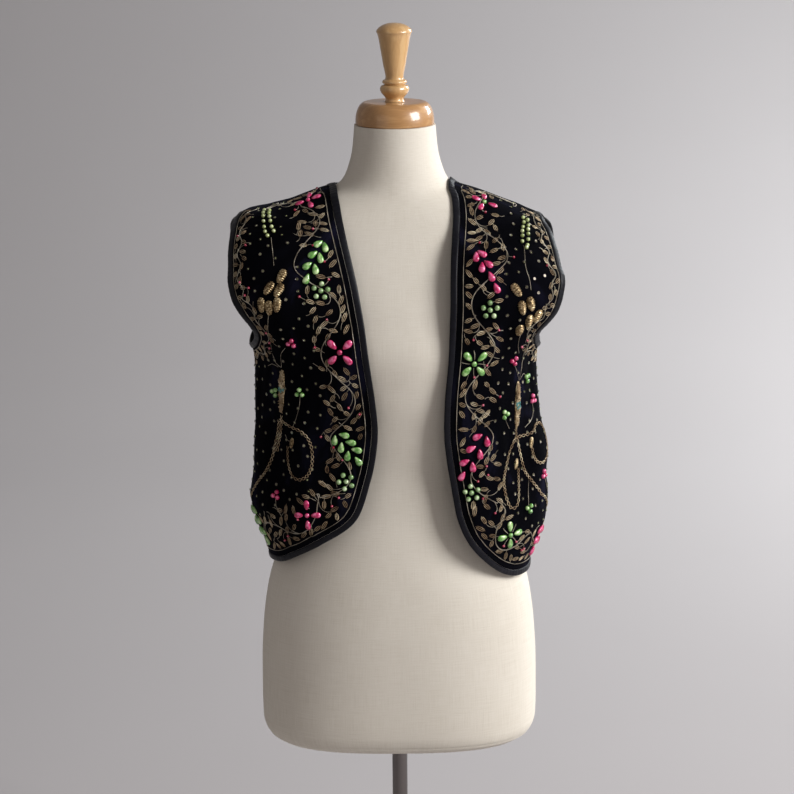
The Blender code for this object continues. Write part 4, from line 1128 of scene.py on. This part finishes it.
seed_spots = {"right": [], "left": []}
for name, side in SIDES.items():
    lines, leaves = [], []
    rising = holes[name][:int(np.argmax(holes[name][:, 1])) + 3]
    for line, inset, count in ((edges[name], COUCH_INSET, COUCH_POINTS["front"]),
                               (rising, ARMHOLE_INSET, COUCH_POINTS["armhole"])):
        couch = beside(line, inset, side)
        lines.append(thread(even(couch[couch[:, 0] < SEAM - COUCH_SEAM], count)[None], side, THREAD))
    for line, sizes in ((edges[name], FRONT_BORDER), (rising, HOLE_BORDER)):
        vine, stems, leaf_lines, seeds = border(line, side, sizes, taken[name])
        lines.append(thread(vine[None], side, VINE))
        lines.append(thread(stems, side, THREAD * STEM_SHARE))
        leaves.append(thread(leaf_lines, side, STRAND))
        seed_spots[name] += seeds
    sewn("gold_vine_" + name, lines, vine_gold)
    sewn("gold_leaves_" + name, leaves, leaf_gold)


# Padded gold work: a fan of six padded petals beside each armhole and a long spindle under it, each ridged
# across as a pad wrapped with gold coil. Cut chips of coil cover the spindle, with a band of turquoise ones.
GOLD_PAD = (0.0196, 0.0102, 0.0036)
PAD_WRAPS = 7
# degrees and height of the fan's foot
PAD_FOOT = {"right": (58.8, 1.0140), "left": (60.7, 0.9967)}
# across and up from the fan's foot in millimetres, degrees turned
PAD_FAN = {
    "right": [(-16.3, 38.7, 28), (-1.1, 24.2, 42), (-13.7, 20.8, 35), (9.4, 4.4, 7), (0, 0, 9),
              (-10.7, 2.7, 12)],
    "left": [(-17.7, 35.4, 39), (-12.8, 15.9, 19), (-1.7, 21.3, 23), (9.6, 7.6, -5), (0, 0, 12),
             (-8.0, -13.0, 12)]}
# degrees and height at the spindle's two ends
SPINDLES = {"right": ((60.3, 0.9373), (63.8, 0.8795)), "left": ((65.9, 0.9166), (65.5, 0.8580))}
SPINDLE_WIDTH = 0.0098
SPINDLE_RISE = 0.0018
CHIP = (0.0034, 0.00060)   # length and radius of a cut chip
CHIP_COUNT = 150
CHIP_RUN = (0.04, 0.96)    # shares of the spindle's length between which chips lie
CHIP_SPREAD = 0.85         # and of its half width
CHIP_SIT = 0.7
CHIP_SIDES = 5
TURQUOISE_BAND = (0.42, 0.56)
PAD_SWELL = 2.4            # power by which a pad narrows to its ends
PAD_CLEAR = 0.010


def pad(rows, around, wraps):
    """Padded petal of unit size: a rounded half section that swells from both ends, ridged by its wraps."""
    t = np.linspace(-0.97, 0.97, rows)[:, None]
    turn = np.linspace(0, 2 * pi, around, endpoint=False)[None]
    half = (1 - np.abs(t) ** PAD_SWELL) ** 0.5 * (1 + 0.16 * t)
    ridge = 0.80 + 0.34 * np.abs(np.sin(pi * wraps / 2 * (t + 1) + 0.5 * np.cos(turn)))
    across = 0.5 * half * np.cos(turn) * (1 + 0.5 * (ridge - 1))
    rise = half * np.where(np.sin(turn) > 0, np.sin(turn) * ridge, 0.12 * np.sin(turn))
    return capped(np.stack([across, 0.5 * t + 0 * turn, rise], -1))


padded_gold, shader, shade = material("padded_gold", {"Metallic": 0.7})
place = shade.place()
glint = place.noise(420.0, 4.0)
tarnish = place.noise(60.0, 2.0)
# The fine glint noise puts small pale spots in the colour: painted glints; tarnish is the gold's own uneven
# tone.
tone = glint * 1.0 + tarnish * 0.5 - 0.22
tone.colours(shader, (0.30, dye(56, 40, 24)), (0.52, dye(146, 122, 86)), (0.75, dye(234, 216, 174)))
(glint * 0.3 + 0.22).into(shader, "Roughness")
glint.bump(shader, 0.4, 0.0003)
turquoise = gold_wire("turquoise_wire", dye(20, 60, 66), dye(70, 140, 140), dye(150, 205, 198), 0.0008, 0.3)

PAD_TEMPLATE = pad(70, 16, PAD_WRAPS)
SPINDLE_TEMPLATE = pad(60, 14, 3)
for name, side in SIDES.items():
    foot = to_cut(PAD_FOOT[name])
    petals = [(lay(foot, (across / 1000, up / 1000), 0.0, side), radians(turned_by), sized(GOLD_PAD))
              for across, up, turned_by in PAD_FAN[name]]
    sew_on("gold_fan_" + name, PAD_TEMPLATE, petals, side, padded_gold, "gold", sharp=70)
    head, tail = to_cut(SPINDLES[name])
    scale = stance((head + tail) / 2, side)[4]
    reach = (head - tail) * scale
    long, lean = float(np.linalg.norm(reach)), float(np.arctan2(-reach[0], reach[1]))
    spindle = [((head + tail) / 2, lean, (SPINDLE_WIDTH, long, SPINDLE_RISE))]
    sew_on("gold_spindle_" + name, SPINDLE_TEMPLATE, spindle, side, padded_gold, "gold", sharp=70)
    t = draw.uniform(*CHIP_RUN, CHIP_COUNT)
    half = SPINDLE_WIDTH / 2 * (1 - np.abs(2 * t - 1) ** PAD_SWELL) ** 0.5
    offset = draw.uniform(-CHIP_SPREAD, CHIP_SPREAD, CHIP_COUNT) * half
    crown = np.sqrt(np.clip(1 - (offset / SPINDLE_WIDTH * 2) ** 2, 0.1, 1))
    swell = SPINDLE_RISE * crown * (half / half.max())
    middles = lay((head + tail) / 2, np.stack([offset, (0.5 - t) * long], -1), lean, side)
    way = draw.uniform(0, pi, CHIP_COUNT)
    along = np.array([-0.5, 0.0, 0.5]) * CHIP[0]
    ends = np.stack([np.cos(way), np.sin(way)], -1)[:, None] * along[None, :, None]
    chips = middles[:, None] + ends / scale
    lift = (swell + CHIP[1] * CHIP_SIT)[:, None]
    blue = (t > TURQUOISE_BAND[0]) & (t < TURQUOISE_BAND[1])
    sewn("gold_chips_" + name, [thread(chips[~blue], side, CHIP[1], lift[~blue], CHIP_SIDES)], leaf_gold)
    sewn("turquoise_chips_" + name, [thread(chips[blue], side, CHIP[1], lift[blue], CHIP_SIDES)], turquoise,
         "pearl")


# Chain loops and stems: two gold strands that cross again and again as an open chain, laid in loops below
# each spindle with a small padded leaf in each loop, thin gold stems at the sprigs, and gold stamens in the
# green flowers.
CORD_STRAND = 0.00046
CORD_HALF = 0.00165
CORD_PITCH = 0.0120
CORD_POINT = 0.0007
CORD_SIDES = 5
# degrees and height of the root, degrees and height of the loop's middle, half width and half length in
# millimetres, degrees round the loop at its start, degrees swept
LOOPS = {
    "right": [(66.1, 0.8707, 56.0, 0.8270, 19, 36, 100, 275)],
    "left": [(65.9, 0.8461, 63.5, 0.7850, 14, 31, 125, 255),
             (66.0, 0.8440, 78.5, 0.8280, 21, 29, 140, -320)]}
# degrees and height at the two ends of a plain cord, bow in millimetres
TAILS = {
    "right": [(66.1, 0.8707, 81.5, 0.7368, 5), (64.0, 0.8780, 68.4, 0.8260, 0)],
    "left": [(65.9, 0.8461, 82.1, 0.7150, 5), (65.5, 0.8580, 65.9, 0.8461, 0)]}
LOOP_POINTS = 11
# small padded leaves in the loops: degrees, height, degrees turned
LOOP_LEAVES = {"right": [(59.4, 0.8420, 12)], "left": [(66.4, 0.8080, -10), (73.4, 0.8330, -14)]}
LOOP_LEAF = (0.0150, 0.0062, 0.0022)
LOOP_LEAF_TEMPLATE = pad(48, 12, 10)
STAMEN = (0.0050, 0.0175)  # a flower's gold stamens start and stop this far from its middle
STAMEN_BEND = 0.0022
STAMEN_POINTS, STEM_POINTS = 9, 40
SPRIG_STEM = 0.9           # a sprig stem's radius over the thread's
# degrees and height along each stem
STEMS = {
    "right": [[(51.7, 0.9060), (52.3, 0.8960), (54.9, 0.8788), (58.2, 0.8640)],
              [(68.2, 1.0866), (65.0, 1.0730), (62.4, 1.0583)],
              [(55.7, 0.9640), (59.0, 0.9540), (60.3, 0.9380)],
              [(63.7, 0.9553), (63.3, 0.9431), (60.6, 0.9380)],
              [(69.2, 0.9361), (66.0, 0.9400), (62.0, 0.9380)],
              [(58.3, 0.8476), (61.5, 0.8440), (63.5, 0.8520)],
              [(67.7, 0.7520), (66.6, 0.7400), (64.0, 0.7290)],
              [(58.6, 1.0080), (60.0, 0.9840), (62.8, 0.9600)]],
    "left": [[(68.2, 1.0776), (64.6, 1.0567), (62.4, 1.0310)],
             [(66.4, 0.9800), (67.0, 0.9532), (67.2, 0.9338), (66.0, 0.9180)],
             [(61.3, 0.9400), (63.2, 0.9330), (65.9, 0.9170)],
             [(71.8, 0.9140), (69.0, 0.9240), (66.4, 0.9180)],
             [(76.3, 0.8850), (76.4, 0.8739), (74.4, 0.8640), (71.0, 0.8560)],
             [(58.2, 0.8760), (60.0, 0.8690), (62.0, 0.8600)],
             [(79.6, 0.7680), (80.6, 0.7600), (82.3, 0.7382)],
             [(70.5, 0.7330), (71.0, 0.7480), (72.2, 0.7720)],
             [(59.2, 0.9820), (60.6, 0.9640), (63.2, 0.9520)]]}
for name, side in SIDES.items():
    knots, strands, stems = [], [], []
    for root, root_height, around, height, wide, long, start, sweep in LOOPS[name]:
        turn = np.radians(start + sweep * np.linspace(0, 1, LOOP_POINTS))
        ring = np.stack([wide * np.cos(turn), long * np.sin(turn)], -1) / 1000
        loop = lay(to_cut((around, height)), ring, 0.0, side)
        knots.append(np.concatenate([to_cut([(root, root_height)]), loop]))
    for root, root_height, around, height, bow in TAILS[name]:
        ends = to_cut([(root, root_height), (around, height)])
        knots.append(np.insert(ends, 1, lay(ends.mean(0), (-bow / 1000, -bow / 1000), 0.0, side), axis=0))
    for rows in knots:
        path = flow(rows)
        long = float(paced(cloth(path, side))[-1])
        path = even(path, int(long / CORD_POINT))
        phase = 2 * pi * np.linspace(0, long, len(path)) / CORD_PITCH
        for start in (0.0, pi):
            strand = shifted(path, CORD_HALF * np.cos(phase + start), side)
            lift = CORD_STRAND * (2 + np.sin(phase + start))
            strands.append(thread(strand[None], side, CORD_STRAND, lift[None], CORD_SIDES))
    for rows in STEMS[name]:
        stems.append(thread(even(flow(to_cut(rows)), STEM_POINTS)[None], side, THREAD * SPRIG_STEM))
    t = np.linspace(0, 1, STAMEN_POINTS)
    rays = np.stack([STAMEN_BEND * t * t, STAMEN[0] + (STAMEN[1] - STAMEN[0]) * t], -1)
    for around, height, turned_by, share, colour, _ in FLOWERS[name]:
        if colour != "green":
            continue
        foot = to_cut((around, height))
        turns = np.radians(turned_by + 360 * (np.arange(PETAL_COUNT) + 0.5) / PETAL_COUNT)
        paths = [lay(foot, share * rays * ((-1) ** k, 1), turn, side) for k, turn in enumerate(turns)]
        stems.append(thread(paths, side, THREAD))
        seed_spots[name] += [path[-1] for path in paths[1:3]]
    sewn("gold_cords_" + name, strands, leaf_gold)
    sewn("gold_stems_" + name, stems, vine_gold)
    small = [(to_cut((around, height)), radians(turned_by), sized(LOOP_LEAF))
             for around, height, turned_by in LOOP_LEAVES[name]]
    sew_on("gold_loop_leaves_" + name, LOOP_LEAF_TEMPLATE, small, side, padded_gold, "gold", sharp=70)


# Seed beads and sequins: dark pink seed beads at the ends of branches and stamens, and small bronze sequins
# scattered over the open velvet, each held down by a bead in its middle.
SEED_BEAD = (0.0036, 0.0036, 0.0028)
SEQUIN = (0.0042, 0.0042, 0.0011)
SEQUIN_BEAD = (0.0013, 0.0013, 0.0014)
SEQUIN_GAP = 0.0140
SEQUIN_TRIES = 4000
SEQUIN_LIFT = 0.0003       # of the bead in a sequin's middle
SEQUIN_ROUND, SEQUIN_UP = (0.05, SEAM - 0.005), (0.10, 0.56)         # lengths on the cut that hold the field
SEQUIN_HIGH = 1.128
# how far sequins keep from the front edge, the armhole and what is already sewn on
FIELD_FRONT, FIELD_HOLE, FIELD_BEAD = 0.066, 0.031, 0.002
SEED_TEMPLATE = bead(5, 8, 0)


def sequin(sides):
    """Cupped disc of unit size: a rim, a lower middle and a shallow cone beneath."""
    turn = np.linspace(0, 2 * pi, sides, endpoint=False)
    rows = np.array([(0.12, 0.45), (0.30, 0.50), (0.50, 1.0), (0.46, 0.75)])
    ring = np.stack([np.cos(turn), np.sin(turn)], -1)[None] * rows[:, :1, None]
    return capped(np.concatenate([ring, np.broadcast_to(rows[:, 1:, None], (*ring.shape[:2], 1))], -1))


spangle, shader, shade = material("bronze_sequin", {"Metallic": 0.9, "Coat Weight": 0.3})
place = shade.place()
each = place.noise(90.0, 1.0)
each.colours(shader, (0.30, dye(48, 40, 34)), (0.52, dye(96, 88, 80)), (0.70, dye(150, 140, 128)),
             (0.80, dye(58, 108, 110)))
(each * 0.25 + 0.16).into(shader, "Roughness")
ruby = pearl("ruby_seed", dye(70, 6, 22), dye(164, 32, 62), dye(236, 130, 150))
SEQUIN_TEMPLATE = sequin(11)
for name, side in SIDES.items():
    beads = [(spot, 0.0, sized(SEED_BEAD)) for spot in seed_spots[name]]
    sew_on("ruby_seeds_" + name, SEED_TEMPLATE, beads, side, ruby, "pearl")
    hem_line, hole_line = cloth(edges[name], side), cloth(holes[name], side)
    blocks = [(cloth(spot, side), clear) for spot, clear in taken[name]]
    blocks += [(cloth(lay(to_cut(PAD_FOOT[name]), (a / 1000, u / 1000), 0.0, side), side), PAD_CLEAR)
               for a, u, _ in PAD_FAN[name]]
    spots = np.stack([draw.uniform(*span, SEQUIN_TRIES) for span in (SEQUIN_ROUND, SEQUIN_UP)], -1)
    places = cloth(spots, side)
    front_here = np.interp(spots[:, 1], edges[name][::-1, 1], edges[name][::-1, 0])
    rising = holes[name][:int(np.argmax(holes[name][:, 1])) + 1]
    hole_here = np.interp(spots[:, 1], rising[:, 1], rising[:, 0], left=SEAM, right=SEAM)
    open_field = (spots[:, 0] > front_here) & (spots[:, 0] < hole_here)
    open_field &= np.interp(spots[:, 1], LENGTHS, HEIGHTS) < SEQUIN_HIGH
    for line, clear in ((hem_line, FIELD_FRONT), (hole_line, FIELD_HOLE)):
        open_field &= np.linalg.norm(places[:, None] - line[None, ::3], axis=-1).min(1) > clear
    for middle, clear in blocks:
        open_field &= np.linalg.norm(places - middle, axis=1) > clear + FIELD_BEAD
    kept, solid = [], []
    for spot, place in zip(spots[open_field], places[open_field]):
        if all(np.linalg.norm(place - other) > SEQUIN_GAP for other in solid):
            kept.append(spot)
            solid.append(place)
    discs = [(spot, 0.0, sized(SEQUIN)) for spot in kept]
    sew_on("sequins_" + name, SEQUIN_TEMPLATE, discs, side, spangle, "gold", sharp=30)
    beads = [(spot, 0.0, sized(SEQUIN_BEAD)) for spot in kept]
    sew_on("sequin_beads_" + name, SEED_TEMPLATE, beads, side, olive, "pearl", sink=-SEQUIN_LIFT)


# Studio: a pale floor and wall in one wide sweep, far enough back for views from behind, a large soft light
# from the right, a wash over the sweep from the same side and a weak fill.
# The camera stands about three metres off, a little above the bust, looking down at the form.
WALL_BEHIND = 6.4
SWEEP_RADIUS = 3.6
SWEEP_WIDE = 14.0
SWEEP_HIGH = 4.5
SWEEP_NEAR = -6.0
SWEEP_ROWS = 48
sweep_line = [(SWEEP_NEAR, 0.0)]
sweep_line += arc((WALL_BEHIND - SWEEP_RADIUS, SWEEP_RADIUS), SWEEP_RADIUS, -90, 0, SWEEP_ROWS)
sweep_line = np.array(sweep_line + [(WALL_BEHIND, SWEEP_HIGH)])
wide = np.array([-SWEEP_WIDE / 2, SWEEP_WIDE / 2])
back, up = sweep_line[:, :1] + 0 * wide, sweep_line[:, 1:] + 0 * wide
grid = np.stack([wide + 0 * back, back, up], -1)
backdrop = build("backdrop", grid.reshape(-1, 3), [quads(len(sweep_line), 2)])
paint, shader, shade = material("wall_paint", {"Roughness": 0.9, "Specular IOR Level": 0.15})
place = shade.place()
mottle = place.noise(1.2, 2.0)
mottle.colours(shader, (0.3, dye(182, 177, 177)), (0.7, dye(184, 179, 179)))
backdrop.data.materials.append(paint)

SKY_COLOUR = (1.0, 0.96, 0.96, 1.0)
SKY_STRENGTH = 0.21
scene = bpy.context.scene
world = bpy.data.worlds.new("studio")
world.use_nodes = True
sky = world.node_tree.nodes["Background"]
sky.inputs["Color"].default_value = SKY_COLOUR
sky.inputs["Strength"].default_value = SKY_STRENGTH
scene.world = world
# name, place, aim, size, power in watts, colour
LIGHTS = [("window", (2.45, -1.15, 2.15), (0.0, 0.0, 0.95), 1.4, 106.0, (0.99, 0.99, 1.0)),
          ("sweep_wash", (2.9, 2.7, 2.3), (0.8, 3.2, 0.1), 1.6, 155.0, (0.93, 0.98, 1.0)),
          ("fill", (-2.2, -3.0, 1.8), (0.0, 0.0, 0.95), 2.4, 6.0, (1.0, 0.93, 0.92))]
for name, place, aim, size, power, colour in LIGHTS:
    lamp = bpy.data.lights.new(name, "AREA")
    lamp.size = size
    lamp.energy = power
    lamp.color = colour
    light = bpy.data.objects.new(name, lamp)
    light.location = place
    light.visible_camera = False
    toward = np.array(aim) - np.array(place)
    light.rotation_mode = "QUATERNION"
    light.rotation_quaternion = Vector(toward).to_track_quat("-Z", "Y")
    scene.collection.objects.link(light)

CAMERA_PLACE = (0.0, -3.007, 1.6278)
CAMERA_DOWN = 14.1         # degrees below level
CAMERA_ROLL = -0.455
FOCAL_PIXELS = 2400.0
PHOTO_PIXELS = 794.0
SENSOR = 36.0
CAMERA_FAR = 50.0
camera = bpy.data.objects.new("camera", bpy.data.cameras.new("camera"))
camera.data.sensor_width = SENSOR
camera.data.lens = FOCAL_PIXELS / PHOTO_PIXELS * SENSOR
camera.data.clip_end = CAMERA_FAR
camera.matrix_world = (Matrix.Translation(CAMERA_PLACE) @ Matrix.Rotation(radians(90 - CAMERA_DOWN), 4, "X")
                       @ Matrix.Rotation(radians(CAMERA_ROLL), 4, "Z"))
scene.collection.objects.link(camera)
scene.camera = camera
scene.view_settings.view_transform = "Standard"
